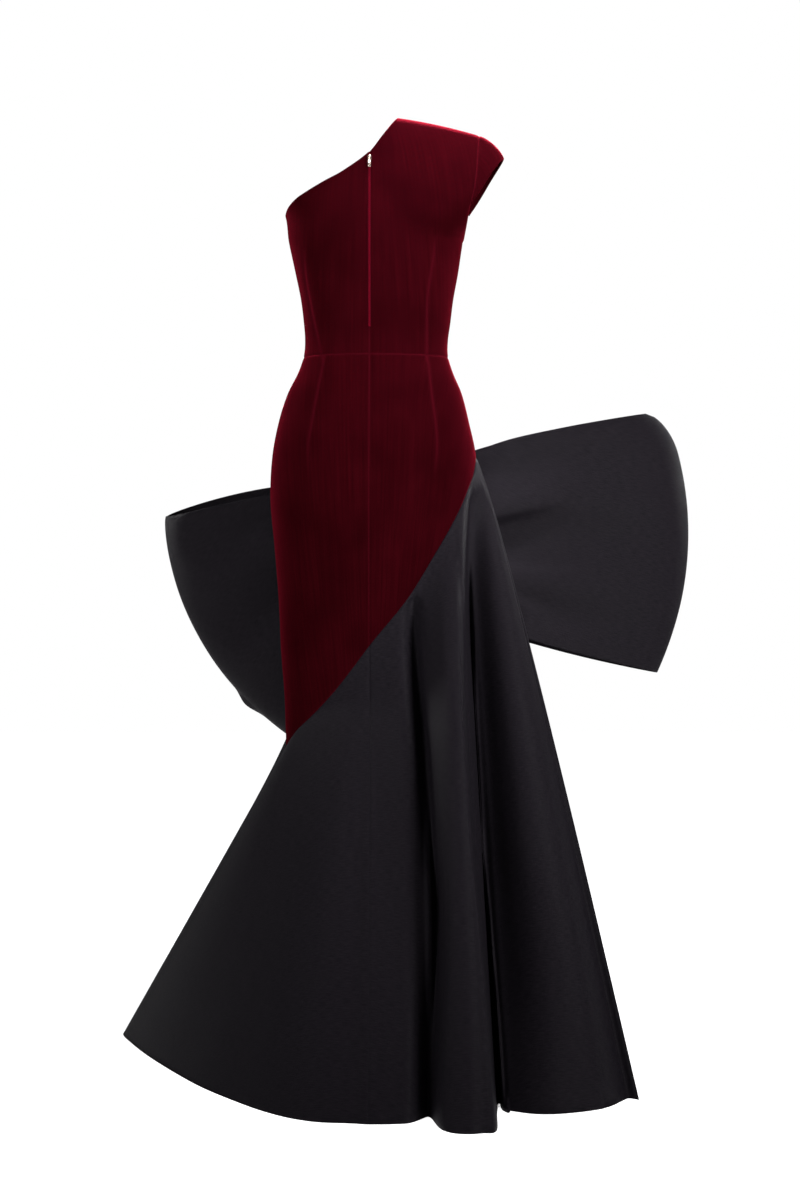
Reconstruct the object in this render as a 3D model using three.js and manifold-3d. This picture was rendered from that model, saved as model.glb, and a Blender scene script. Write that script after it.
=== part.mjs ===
// A one-shoulder evening gown, worn and hollow: a fitted velvet bodice and skirt, a slanted seam from the
// right hip to the left knee, a faille flounce that sweeps into a train, and a big flat bow at the front.
// Millimetres. The gown is worked out standing on the floor, with x to the wearer's left, y to the wearer's
// back and z up. Turns are degrees round the body: 0 centre back, 90 the wearer's right, 180 front, 270 left.
import * as THREE from "three";
import { mergeVertices } from "three/addons/utils/BufferGeometryUtils.js";
import Module from "manifold-3d";

const { Vector3 } = THREE;

// Cloth and seams
const VELVET_THICKNESS = 2;
const FAILLE_THICKNESS = 1.8;
const SEAM_GAP = 0.3;
const WAIST_HEIGHT = 1132;

// Body sections: half widths to each side and depths to front and back of the middle line
const BODY_SECTIONS = [
  { height: 440, left: 140, right: 150, front: 100, back: 104 },
  { height: 560, left: 143, right: 154, front: 103, back: 111 },
  { height: 640, left: 149, right: 158, front: 106, back: 117 },
  { height: 726, left: 153, right: 164, front: 110, back: 127 },
  { height: 815, left: 160, right: 171, front: 112, back: 134 },
  { height: 896, left: 167, right: 178, front: 112, back: 136 },
  { height: 966, left: 164, right: 178, front: 106, back: 124 },
  { height: 1025, left: 153, right: 166, front: 98, back: 108 },
  { height: 1072, left: 138, right: 154, front: 91, back: 94 },
  { height: 1108, left: 120, right: 139, front: 86, back: 84 },
  { height: 1136, left: 111, right: 131, front: 84, back: 80 },
  { height: 1161, left: 109, right: 131, front: 86, back: 80 },
  { height: 1190, left: 111, right: 135, front: 93, back: 83 },
  { height: 1230, left: 116, right: 140, front: 106, back: 88 },
  { height: 1274, left: 125, right: 148, front: 116, back: 92 },
  { height: 1320, left: 135, right: 155, front: 114, back: 95 },
  { height: 1369, left: 142, right: 190, front: 106, back: 95 },
  { height: 1410, left: 160, right: 222, front: 100, back: 93 },
  { height: 1460, left: 200, right: 240, front: 96, back: 92 },
  { height: 1540, left: 240, right: 240, front: 94, back: 92 },
];
const SECTION_ROUNDNESS = 2.2;
const BUST = { height: 1286, turn: 33, rise: 9, widthTurn: 17, tall: 52 };

// Shoulder: the back and front arch over to meet at its seam
const SHOULDER = { neckX: -47, neckHeight: 1534, tipX: -183, fall: 0.14, curl: 0.00055 };
const ARCH_START = 1380;
const ARCH_ROUNDNESS = 2.2;

// Slanted neckline, from under the left arm to the neck end of the shoulder seam
const NECKLINE_BACK = [
  { x: -47, height: 1534 },
  { x: -36, height: 1517 },
  { x: -22, height: 1496 },
  { x: 0, height: 1465 },
  { x: 43, height: 1432 },
  { x: 75, height: 1415 },
  { x: 107, height: 1398 },
  { x: 123, height: 1389 },
  { x: 137, height: 1377 },
  { x: 142, height: 1369 },
];
const NECKLINE_FRONT = [
  { x: -47, height: 1534 },
  { x: -41, height: 1500 },
  { x: -28, height: 1462 },
  { x: 0, height: 1428 },
  { x: 35, height: 1407 },
  { x: 75, height: 1391 },
  { x: 110, height: 1380 },
  { x: 142, height: 1369 },
];
const UNDERARM_LEFT = 1369;

// Armhole of the one shoulder: its edge as seen from the back
const ARMHOLE = [
  { height: 1327, x: -156 },
  { height: 1361, x: -163 },
  { height: 1384, x: -168 },
  { height: 1404, x: -173 },
  { height: 1430, x: -177 },
  { height: 1470, x: -180 },
  { height: 1504, x: -183 },
];
const UNDERARM_RIGHT = 1327;

// Cap sleeve: a crescent set into the top of the armhole. Its foot is where it starts on the armhole, swell
// is how full its curve is and hollow how late it widens. Its first slope follows the shoulder, and endTurn
// bends the slope at its hem inwards and down.
const CAP = {
  foot: 1404,
  tipX: -225,
  tipHeight: 1467,
  footWidth: 3,
  footDrop: 1,
  swell: 0.9,
  hollow: 1.2,
  startFall: 2 * SHOULDER.fall,
  endTurn: { x: 0.2, z: -0.7 },
};

// Slanted seam between the velvet skirt and the flounce, all round the body
const SEAM_HEIGHTS = [
  { turn: -90, height: 482 },
  { turn: -60, height: 516 },
  { turn: -32, height: 569 },
  { turn: 0, height: 651 },
  { turn: 27, height: 726 },
  { turn: 46, height: 806 },
  { turn: 62, height: 877 },
  { turn: 72, height: 918 },
  { turn: 90, height: 966 },
  { turn: 118, height: 932 },
  { turn: 153, height: 843 },
  { turn: 180, height: 768 },
  { turn: 210, height: 660 },
  { turn: 240, height: 556 },
];

// Hem of the flounce on the floor. Spread and sweep are the powers that say how late down the flounce the
// cloth moves sideways and backwards: 1 is straight, more is late.
const HEM = [
  { turn: -90, x: 413, y: 4, spread: 1, sweep: 1.2 },
  { turn: -80, x: 390, y: 98, spread: 1, sweep: 1.3 },
  { turn: -66, x: 331, y: 261, spread: 1, sweep: 1.35 },
  { turn: -52, x: 261, y: 424, spread: 1, sweep: 1.4 },
  { turn: -40, x: 200, y: 533, spread: 1, sweep: 1.4 },
  { turn: -27, x: 138, y: 624, spread: 1, sweep: 1.4 },
  { turn: -13, x: 69, y: 687, spread: 1, sweep: 1.4 },
  { turn: 0, x: -6, y: 705, spread: 1, sweep: 1.4 },
  { turn: 20, x: -59, y: 695, spread: 1, sweep: 1.4 },
  { turn: 35, x: -88, y: 676, spread: 1, sweep: 1.4 },
  { turn: 39, x: -99, y: 707, spread: 1, sweep: 1.3 },
  { turn: 44, x: -111, y: 745, spread: 1, sweep: 1.25 },
  { turn: 50, x: -132, y: 763, spread: 1, sweep: 1.2 },
  { turn: 57, x: -163, y: 759, spread: 1, sweep: 1.2 },
  { turn: 62, x: -183, y: 742, spread: 1, sweep: 1.2 },
  { turn: 66, x: -190, y: 617, spread: 1, sweep: 1.3 },
  { turn: 70, x: -208, y: 637, spread: 0.95, sweep: 1.35 },
  { turn: 75, x: -242, y: 650, spread: 0.88, sweep: 1.35 },
  { turn: 80, x: -286, y: 637, spread: 0.82, sweep: 1.35 },
  { turn: 85, x: -345, y: 596, spread: 0.82, sweep: 1.35 },
  { turn: 90, x: -382, y: 534, spread: 0.82, sweep: 1.35 },
  { turn: 95, x: -398, y: 540, spread: 0.84, sweep: 1.35 },
  { turn: 101, x: -392, y: 430, spread: 0.9, sweep: 1.3 },
  { turn: 111, x: -372, y: 255, spread: 1, sweep: 1.3 },
  { turn: 125, x: -325, y: 40, spread: 1.05, sweep: 1.3 },
  { turn: 142, x: -255, y: -130, spread: 1.1, sweep: 1.5 },
  { turn: 160, x: -150, y: -240, spread: 1.2, sweep: 1.5 },
  { turn: 180, x: 0, y: -285, spread: 1.2, sweep: 1.5 },
  { turn: 205, x: 150, y: -262, spread: 1.2, sweep: 1.4 },
  { turn: 230, x: 280, y: -190, spread: 1.1, sweep: 1.3 },
  { turn: 250, x: 370, y: -105, spread: 1, sweep: 1.2 },
];
// Soft flutes of the hidden front of the flounce, in the radius of the hem
const FRONT_FLUTES = { from: 108, to: 262, count: 6, depth: 17 };

// Bow: its knot sits on the front where the slanted seam passes, and each loop reaches out from it
const KNOT = {
  x: -50,
  y: -137,
  height: 843,
  wide: 62,
  halfTall: 56,
  halfDeep: 21,
  belly: 0.08,
  thickness: 3.5,
};
const LOOPS = [
  {
    name: "bow_loop_right",
    axis: new Vector3(-0.97, -0.24, -0.035),
    up: new Vector3(-0.035, 0, 1),
    length: 530,
    sag: 50,
    halfTall: 233,
    swell: 38,
    backFirst: 1,
  },
  {
    name: "bow_loop_left",
    axis: new Vector3(0.79, -0.46, -0.41),
    up: new Vector3(0.49, 0.09, 0.87),
    length: 458,
    sag: 60,
    halfTall: 230,
    swell: 34,
    backFirst: -1,
  },
];
const LOOP_ROUND = 0.9;
const LOOP_ROOT = { start: 5, halfTall: 44, halfDeep: 10, fan: 0.4, turnIn: 0.3, clear: 4 };
// Gathers of a bow loop, radiating from the knot: where they cross it, how deep and how wide they are. They
// rise from the root and die out at the end as a power of a sine.
const LOOP_FOLDS = [
  { across: -0.72, depth: -9, width: 0.16 },
  { across: -0.38, depth: 10, width: 0.2 },
  { across: 0.02, depth: -12, width: 0.2 },
  { across: 0.4, depth: 9, width: 0.17 },
  { across: 0.74, depth: -7, width: 0.15 },
];
const FOLD_DEPTH_SHARE = 0.8;
const FOLD_SPREAD = 0.7;

// Zip down the centre back, and its slider with a pull tab
const ZIP = { bottom: 1176, top: 1447, width: 4.4, lift: 0.3, thickness: 1.1 };
const SLIDER = {
  height: 1452,
  base: 1.8,
  long: 10,
  topWide: 6.4,
  footWide: 4.2,
  thick: 2.2,
  straightTo: 0.2,
};
const BRIDGE = { long: 6.6, wide: 1.4, rise: 2.7, bar: 0.9, sunk: 0.3 };
const PULL = {
  axisRise: 1.05,
  bar: 0.5,
  wide: 5,
  long: 17,
  thick: 1,
  window: 1.2,
  windowEnd: 4.3,
  endRound: 2,
};

// Where the wearer's shoulder carries the gown: the middle of the shoulder seam, on the inside of the cloth
const SHOULDER_MOUNT = { x: -115, y: 0 };

// Steps of the walls' grids, across and up. Steps of a skirt or flounce panel are for each fold of the hem.
const STEPS = {
  bodiceBackLeft: { across: 8, up: 11 },
  bodiceBackRight: { toCorner: 4, toTip: 7, up: 14 },
  bodiceFront: { toCorner: 7, toSide: 12, up: 14 },
  cap: { across: 12, up: 4 },
  skirtBackLeft: { perFold: 1, up: 10 },
  skirtBackRight: { perFold: 2, up: 7 },
  skirtFront: { perFold: 3, up: 9 },
  flounceBack: { perFold: 2, up: 9 },
  flounceFront: { perFold: 3, up: 9 },
  loop: { root: 1, turn: 2, face: 22, turnEnds: 0.06, up: 11 },
  knot: { round: 24, wide: 4 },
  zip: { across: 2, up: 14 },
};
// Rows up the bodice crowd together towards the shoulder by this power
const ROW_CROWDING = 1.7;
// Passes in which a bodice point's height settles under the slanted top line
const TOP_LINE_PASSES = 14;
// Small steps to each side of a place, by which the slant of a surface is found: a share, degrees, millimetres
const SHARE_STEP = 0.002;
const TURN_STEP = 2;
const PLACE_STEP = 0.5;
const ARC_STEPS = 6;
const MERGE_DISTANCE = 1e-4;

const MATERIALS = {
  velvet: new THREE.MeshStandardMaterial({ color: 0x430711, roughness: 0.85, metalness: 0 }),
  faille: new THREE.MeshStandardMaterial({ color: 0x1b1a1d, roughness: 0.5, metalness: 0 }),
  zip: new THREE.MeshStandardMaterial({ color: 0x8e1020, roughness: 0.5, metalness: 0 }),
  metal: new THREE.MeshStandardMaterial({ color: 0xc9b7a4, roughness: 0.3, metalness: 1 }),
};

const radians = THREE.MathUtils.degToRad;
const degrees = THREE.MathUtils.radToDeg;
const mix = THREE.MathUtils.lerp;
const clamp = THREE.MathUtils.clamp;
const smooth = (share) => THREE.MathUtils.smoothstep(share, 0, 1);
const hump = (offset, width) => Math.exp(-((offset / width) ** 2));

// A smooth curve through the rows of a table, from one named column to another.
function curve(rows, from, to) {
  const slopes = rows.map((row, i) => {
    const before = rows[Math.max(i - 1, 0)];
    const after = rows[Math.min(i + 1, rows.length - 1)];
    return (after[to] - before[to]) / (after[from] - before[from]);
  });
  return (at) => {
    const place = clamp(at, rows[0][from], rows.at(-1)[from]);
    const i = Math.max(rows.findIndex((row) => row[from] >= place) - 1, 0);
    const step = rows[i + 1][from] - rows[i][from];
    const t = (place - rows[i][from]) / step;
    const bend = t * (1 - t);
    return (
      mix(rows[i][to], rows[i + 1][to], t * t * (3 - 2 * t)) +
      step * bend * ((1 - t) * slopes[i] - t * slopes[i + 1])
    );
  };
}

// The same for a table that runs once round the body.
function ringCurve(rows, to) {
  const turns = [-360, 0, 360].flatMap((shift) => rows.map((row) => ({ ...row, turn: row.turn + shift })));
  return curve(turns, "turn", to);
}

const leftOf = curve(BODY_SECTIONS, "height", "left");
const rightOf = curve(BODY_SECTIONS, "height", "right");
const frontOf = curve(BODY_SECTIONS, "height", "front");
const backOf = curve(BODY_SECTIONS, "height", "back");
const armholeX = curve(ARMHOLE, "height", "x");
const seamHeight = ringCurve(SEAM_HEIGHTS, "height");
const necklineBack = curve(NECKLINE_BACK, "x", "height");
const necklineFront = curve(NECKLINE_FRONT, "x", "height");
const hemX = ringCurve(HEM, "x");
const hemY = ringCurve(HEM, "y");
const hemSpread = ringCurve(HEM, "spread");
const hemSweep = ringCurve(HEM, "sweep");

// Height of the shoulder line over a place across the body.
function shoulderHeight(x) {
  const out = Math.max(Math.abs(x) + SHOULDER.neckX, 0);
  return SHOULDER.neckHeight - SHOULDER.fall * out - SHOULDER.curl * out * out;
}

const TIP_HEIGHT = shoulderHeight(SHOULDER.tipX);

// How much of the full depth is left where the body arches over to the shoulder.
function archShare(x, height) {
  const rise = (height - ARCH_START) / (shoulderHeight(x) - ARCH_START);
  if (rise <= 0) return 1;
  return Math.max(1 - rise ** ARCH_ROUNDNESS, 0) ** (1 / ARCH_ROUNDNESS);
}

function fullness(turn, height) {
  const rounds = [180 - BUST.turn, 180 + BUST.turn].map((at) => hump(turn - at, BUST.widthTurn));
  return BUST.rise * (rounds[0] + rounds[1]) * hump(height - BUST.height, BUST.tall);
}

// A point of the body's outside at a turn and a height.
function bodyPoint(turn, height) {
  const angle = radians(turn);
  const side = Math.sin(angle) > 0 ? rightOf(height) : leftOf(height);
  const depth = Math.cos(angle) > 0 ? backOf(height) : frontOf(height);
  const across = (Math.abs(Math.sin(angle)) / side) ** SECTION_ROUNDNESS;
  const along = (Math.abs(Math.cos(angle)) / depth) ** SECTION_ROUNDNESS;
  const radius = (across + along) ** (-1 / SECTION_ROUNDNESS) + fullness(turn, height);
  const x = -radius * Math.sin(angle);
  return new Vector3(x, radius * Math.cos(angle) * archShare(x, height), height);
}

// The turn, from the centre back or front line, at which the right side reaches a place across the body.
function turnToReach(x, height, depth) {
  const share = 1 - Math.min(Math.abs(x) / rightOf(height), 1) ** SECTION_ROUNDNESS;
  return degrees(Math.atan2(Math.abs(x), depth * share ** (1 / SECTION_ROUNDNESS)));
}

// The turn of the right edge of the bodice: the side seam, then the armhole.
function rightEdgeTurn(height, depthOf) {
  if (height <= UNDERARM_RIGHT) return 90;
  return turnToReach(armholeX(height), height, depthOf(height));
}

// Shares from 0 to 1 through the stops, with a number of steps between each pair.
function spaced(stops, steps) {
  const shares = [stops[0]];
  steps.forEach((count, i) => {
    for (let k = 1; k <= count; k++) shares.push(mix(stops[i], stops[i + 1], k / count));
  });
  return shares;
}
const even = (count) => spaced([0, 1], [count]);

// A closed body from a grid of outer points, with the inner points a thickness behind them.
function gridSolid(outer, inner, closed) {
  const columns = outer.length;
  const rows = outer[0].length;
  const positions = [...outer.flat(), ...inner.flat()].flatMap((point) => point.toArray());
  const out = (i, j) => (i % columns) * rows + j;
  const back = (i, j) => columns * rows + out(i, j);
  const faces = [];
  const quad = (a, b, c, d) => faces.push(a, b, c, a, c, d);
  const spans = closed ? columns : columns - 1;
  for (let i = 0; i < spans; i++) {
    for (let j = 0; j < rows - 1; j++) {
      quad(out(i, j), out(i + 1, j), out(i + 1, j + 1), out(i, j + 1));
      quad(back(i, j), back(i, j + 1), back(i + 1, j + 1), back(i + 1, j));
    }
    quad(out(i, 0), back(i, 0), back(i + 1, 0), out(i + 1, 0));
    quad(out(i, rows - 1), out(i + 1, rows - 1), back(i + 1, rows - 1), back(i, rows - 1));
  }
  if (!closed) {
    const last = columns - 1;
    for (let j = 0; j < rows - 1; j++) {
      quad(out(0, j), out(0, j + 1), back(0, j + 1), back(0, j));
      quad(out(last, j), back(last, j), back(last, j + 1), out(last, j + 1));
    }
  }
  const geometry = new THREE.BufferGeometry();
  geometry.setAttribute("position", new THREE.Float32BufferAttribute(positions, 3));
  geometry.setIndex(faces);
  return geometry;
}

// A cloth wall on a surface. pointAt takes shares across and up the piece, and across times up points out.
// Each cut edge stops half a seam gap short of its seam line. A piece that is closed joins its own start, and
// a surface that runs on past the sides of the piece gives the pieces beside it the same slant at their seam.
function wall(pointAt, columns, rows, thickness, { closed = false, runsOn = closed } = {}) {
  const inRange = (share) => clamp(share, 0, 1);
  const besides = (share, free) => {
    const pair = [share - SHARE_STEP, share + SHARE_STEP];
    return free ? pair : pair.map(inRange);
  };
  const normalAt = (u, v) => {
    const [before, after] = besides(u, runsOn);
    const [below, above] = besides(v, false);
    const across = pointAt(after, v).sub(pointAt(before, v));
    const up = pointAt(u, above).sub(pointAt(u, below));
    return across.cross(up).normalize();
  };
  const outer = columns.map((u) => rows.map((v) => pointAt(u, v)));
  const inset = (edge, next) => {
    edge.forEach((point, k) => {
      const inwards = next[k].clone().sub(point).setLength(SEAM_GAP / 2);
      point.add(inwards);
    });
  };
  if (!closed) {
    inset(outer[0], outer[1]);
    inset(outer.at(-1), outer.at(-2));
  }
  inset(outer.map((column) => column[0]), outer.map((column) => column[1]));
  inset(outer.map((column) => column.at(-1)), outer.map((column) => column.at(-2)));
  const inner = outer.map((column, i) =>
    column.map((point, j) => {
      const behind = point.clone().addScaledVector(normalAt(columns[i], rows[j]), -thickness);
      behind.z = Math.max(behind.z, 0);
      return behind;
    }),
  );
  return gridSolid(outer, inner, closed);
}

// A point of a bodice panel: rows run level at the waist and take the shape of the top line at the top.
function bodicePoint(turn, topLine, v) {
  let height = mix(WAIST_HEIGHT, UNDERARM_LEFT, v);
  for (let pass = 0; pass < TOP_LINE_PASSES; pass++) {
    height = mix(WAIST_HEIGHT, topLine(bodyPoint(turn, height).x), v);
  }
  return bodyPoint(turn, height);
}

const backTop = (x) => (x < SHOULDER.neckX ? shoulderHeight(x) : necklineBack(x));
const frontTop = (x) => (x < SHOULDER.neckX ? shoulderHeight(x) : necklineFront(x));

// Rows up the bodice, closer where the cloth turns over the shoulder.
const bodiceRows = (count) => even(count).map((share) => 1 - (1 - share) ** ROW_CROWDING);

function bodiceBackLeft() {
  const { across, up } = STEPS.bodiceBackLeft;
  return wall((u, v) => bodicePoint(mix(-90, 0, u), backTop, v), even(across), even(up), VELVET_THICKNESS);
}

// The share of the way from a panel's first turn to its last at which it meets the neck end of the shoulder.
function neckShare(depthOf, full) {
  const neckTurn = turnToReach(SHOULDER.neckX, SHOULDER.neckHeight, depthOf(SHOULDER.neckHeight));
  return (rightEdgeTurn(TIP_HEIGHT, depthOf) - neckTurn) / full;
}

function bodiceBackRight() {
  const edgeTurn = (v) => rightEdgeTurn(mix(WAIST_HEIGHT, TIP_HEIGHT, v), backOf);
  const corner = 1 - neckShare(backOf, edgeTurn(1));
  const pointAt = (u, v) => bodicePoint(u * edgeTurn(v), backTop, v);
  const { toCorner, toTip, up } = STEPS.bodiceBackRight;
  return wall(pointAt, spaced([0, corner, 1], [toCorner, toTip]), bodiceRows(up), VELVET_THICKNESS);
}

function bodiceFront() {
  const edgeTurn = (v) => 180 - rightEdgeTurn(mix(WAIST_HEIGHT, TIP_HEIGHT, v), frontOf);
  const corner = neckShare(frontOf, 270 - edgeTurn(1));
  const pointAt = (u, v) => bodicePoint(mix(edgeTurn(v), 270, u), frontTop, v);
  const { toCorner, toSide, up } = STEPS.bodiceFront;
  return wall(pointAt, spaced([0, corner, 1], [toCorner, toSide]), bodiceRows(up), VELVET_THICKNESS);
}

// The cap sleeve leaves the armhole in line with the shoulder and curls down to its hem.
// u runs from its foot at the back over the shoulder to its foot at the front, v from hem to armhole.
function capPoint(u, v) {
  const angle = mix(-90, 90, u);
  const up = Math.cos(radians(angle));
  const height = mix(CAP.foot, TIP_HEIGHT, up);
  const [depthOf, facing] = angle < 0 ? [backOf, 0] : [frontOf, 180];
  const edgeTurn = Math.abs(facing - turnToReach(armholeX(height), height, depthOf(height)));
  const seam = bodyPoint(edgeTurn, height);
  const nearby = bodyPoint(edgeTurn + (angle < 0 ? -TURN_STEP : TURN_STEP), height);
  const outwards = seam.clone().sub(nearby).setZ(0).normalize();
  const along = new Vector3(-1, 0, -CAP.startFall).normalize();
  const start = outwards.lerp(along, up).normalize();
  const reach = new Vector3(mix(-CAP.footWidth, CAP.tipX - SHOULDER.tipX, up ** CAP.hollow), 0, 0);
  reach.z = mix(-CAP.footDrop, CAP.tipHeight - TIP_HEIGHT, up);
  const length = reach.length();
  const turned = new Vector3(CAP.endTurn.x, 0, CAP.endTurn.z).multiplyScalar(length * up);
  const end = reach.clone().add(turned).normalize();
  const w = 1 - v;
  const bend = CAP.swell * length * w * (1 - w);
  const point = seam.clone().addScaledVector(reach, smooth(w));
  return point.addScaledVector(start, bend * (1 - w)).addScaledVector(end, -bend * w);
}

// Columns of the skirt and the flounce stand on the folds of the hem table, with steps between them.
function foldColumns(fromTurn, toTurn, steps) {
  const folds = HEM.map((row) => row.turn).filter((turn) => turn > fromTurn && turn < toTurn);
  const shares = [fromTurn, ...folds, toTurn].map((turn) => (turn - fromTurn) / (toTurn - fromTurn));
  return spaced(shares, Array(shares.length - 1).fill(steps));
}

// Fitted skirt panels hang from the waist seam to the slanted seam.
function skirt(fromTurn, toTurn, { perFold, up }) {
  const pointAt = (u, v) => {
    const turn = mix(fromTurn, toTurn, u);
    return bodyPoint(turn, mix(seamHeight(turn), WAIST_HEIGHT, v));
  };
  return wall(pointAt, foldColumns(fromTurn, toTurn, perFold), even(up), VELVET_THICKNESS, { runsOn: true });
}

function fluteDepth(turn) {
  const share = clamp((turn - FRONT_FLUTES.from) / (FRONT_FLUTES.to - FRONT_FLUTES.from), 0, 1);
  return FRONT_FLUTES.depth * Math.sin(Math.PI * 2 * FRONT_FLUTES.count * share) * Math.sin(Math.PI * share);
}

// The flounce leaves the slanted seam and reaches its hem on the floor, drop by drop.
function flouncePoint(turn, v) {
  const drop = 1 - v;
  const point = bodyPoint(turn, seamHeight(turn));
  const hem = new Vector3(hemX(turn), hemY(turn), 0);
  hem.addScaledVector(hem.clone().normalize(), fluteDepth(turn));
  point.x = mix(point.x, hem.x, drop ** hemSpread(turn));
  point.y = mix(point.y, hem.y, drop ** hemSweep(turn));
  point.z *= v;
  return point;
}

function flounce(fromTurn, toTurn, { perFold, up }) {
  const pointAt = (u, v) => flouncePoint(mix(fromTurn, toTurn, u), v);
  return wall(pointAt, foldColumns(fromTurn, toTurn, perFold), even(up), FAILLE_THICKNESS, { runsOn: true });
}

// The share of a loop's reach that the knot hides.
function rootShare(loop) {
  return (KNOT.wide / 2 + LOOP_ROOT.clear - LOOP_ROOT.start) / (loop.length - LOOP_ROOT.start);
}

// A bow loop: a wide band that runs out from the knot, folds back at its end and returns in front.
// u runs round the band from root to root, v from its lower to its upper edge.
function loopPoint(loop, u, v) {
  const round = mix(-90, 90, u) * loop.backFirst;
  const across = mix(-1, 1, v);
  const out = Math.cos(radians(round)) ** LOOP_ROUND;
  const free = Math.max(out - rootShare(loop), 0);
  const blend = smooth(free / LOOP_ROOT.turnIn);
  const sideways = new Vector3(Math.sign(loop.axis.x), 0, 0);
  const axis = sideways.lerp(loop.axis, blend).normalize();
  const up = new Vector3(0, 0, 1).lerp(loop.up, blend).normalize();
  const facing = axis.clone().cross(up).setLength(loop.backFirst);
  const halfTall = mix(LOOP_ROOT.halfTall, loop.halfTall, free ** LOOP_ROOT.fan);
  const reach = LOOP_ROOT.start + (loop.length - loop.sag * across ** 2 - LOOP_ROOT.start) * out;
  const turned = Math.sin(radians(round));
  const folds = LOOP_FOLDS.map((fold) => fold.depth * hump(across - fold.across, fold.width));
  const spread = Math.sin(Math.PI * clamp(free, 0, 1)) ** FOLD_SPREAD;
  const gather = folds.reduce((sum, depth) => sum + depth, 0) * spread * FOLD_DEPTH_SHARE;
  const deep = turned * (LOOP_ROOT.halfDeep + 2 * loop.swell * free + gather);
  const point = new Vector3(KNOT.x, KNOT.y, KNOT.height);
  point.addScaledVector(axis, reach);
  point.addScaledVector(up, across * halfTall);
  return point.addScaledVector(facing, deep);
}

// The band's columns stand closer at the root, which the knot hides, and at the turn out of it.
function bowLoop(loop) {
  const { root, turn, face, turnEnds, up } = STEPS.loop;
  const hidden = degrees(Math.asin(rootShare(loop) ** (1 / LOOP_ROUND))) / 180;
  const stops = [0, hidden, turnEnds, 1 - turnEnds, 1 - hidden, 1];
  const columns = spaced(stops, [root, turn, face, turn, root]);
  return wall((u, v) => loopPoint(loop, u, v), columns, even(up), FAILLE_THICKNESS);
}

// The knot is a band wrapped round the roots of the loops.
function knotPoint(u, v) {
  const angle = radians(360 * u);
  const x = KNOT.x + mix(KNOT.wide / 2, -KNOT.wide / 2, v);
  const belly = 1 + KNOT.belly * Math.sin(Math.PI * v);
  const y = KNOT.y + KNOT.halfDeep * belly * Math.cos(angle);
  return new Vector3(x, y, KNOT.height + KNOT.halfTall * belly * Math.sin(angle));
}

function knot() {
  const { round, wide } = STEPS.knot;
  return wall(knotPoint, even(round).slice(0, -1), even(wide), KNOT.thickness, { closed: true });
}

// A place on the back beside the centre line, and the way straight out of the cloth there.
function backSurface(x, height) {
  const at = (place, level) => bodyPoint(-degrees(Math.asin(place / backOf(height))), level);
  const point = at(x, height);
  const across = at(x - PLACE_STEP, height).sub(at(x + PLACE_STEP, height));
  const up = at(x, height + PLACE_STEP).sub(at(x, height - PLACE_STEP));
  return { point, out: across.cross(up).normalize() };
}

// The closed zip lies on the centre-back seam, following the panels.
function zipPoint(u, v) {
  const x = mix(ZIP.width / 2, -ZIP.width / 2, u);
  const { point, out } = backSurface(x, mix(ZIP.bottom, ZIP.top, v));
  return point.addScaledVector(out, ZIP.lift + ZIP.thickness);
}

const wasm = await Module();
wasm.setup();

function joined(geometries) {
  const solids = geometries.map((geometry) => {
    geometry.deleteAttribute("normal");
    geometry.deleteAttribute("uv");
    const merged = mergeVertices(geometry, MERGE_DISTANCE);
    const triVerts = new Uint32Array(merged.index.array);
    const vertProperties = merged.attributes.position.array;
    return new wasm.Manifold(new wasm.Mesh({ numProp: 3, vertProperties, triVerts }));
  });
  const mesh = solids.reduce((sum, solid) => sum.add(solid)).getMesh();
  const geometry = new THREE.BufferGeometry();
  geometry.setAttribute("position", new THREE.Float32BufferAttribute(mesh.vertProperties, 3));
  geometry.setIndex([...mesh.triVerts]);
  return geometry;
}

// In the slider's own frame x runs across, y straight out of the cloth and z up along the zip.
const extruded = (shape, depth) =>
  new THREE.ExtrudeGeometry(shape, { depth, bevelEnabled: false, curveSegments: ARC_STEPS });
const SLIDER_FACE = SLIDER.base + SLIDER.thick;

// The slider is a plate that narrows towards the closed teeth, with a bridge for the pull.
function sliderGeometry() {
  const half = SLIDER.long / 2;
  const plate = new THREE.Shape();
  plate.moveTo(-SLIDER.footWide / 2, -half);
  plate.lineTo(SLIDER.footWide / 2, -half);
  plate.lineTo(SLIDER.topWide / 2, half * SLIDER.straightTo);
  plate.quadraticCurveTo(SLIDER.topWide / 2, half, 0, half);
  plate.quadraticCurveTo(-SLIDER.topWide / 2, half, -SLIDER.topWide / 2, half * SLIDER.straightTo);
  plate.closePath();
  const body = extruded(plate, SLIDER.thick).rotateX(Math.PI / 2).translate(0, SLIDER_FACE, 0);
  const foot = BRIDGE.long / 2;
  const opening = foot - BRIDGE.bar;
  const arch = new THREE.Shape();
  arch.moveTo(-foot, -BRIDGE.sunk);
  arch.lineTo(-opening, -BRIDGE.sunk);
  arch.lineTo(-opening, BRIDGE.rise - BRIDGE.bar);
  arch.lineTo(opening, BRIDGE.rise - BRIDGE.bar);
  arch.lineTo(opening, -BRIDGE.sunk);
  arch.lineTo(foot, -BRIDGE.sunk);
  arch.lineTo(foot, BRIDGE.rise - BRIDGE.bar);
  arch.quadraticCurveTo(foot, BRIDGE.rise, opening, BRIDGE.rise);
  arch.lineTo(-opening, BRIDGE.rise);
  arch.quadraticCurveTo(-foot, BRIDGE.rise, -foot, BRIDGE.rise - BRIDGE.bar);
  arch.closePath();
  const bridge = extruded(arch, BRIDGE.wide).rotateY(-Math.PI / 2).translate(BRIDGE.wide / 2, SLIDER_FACE, 0);
  return joined([body, bridge]);
}

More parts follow.
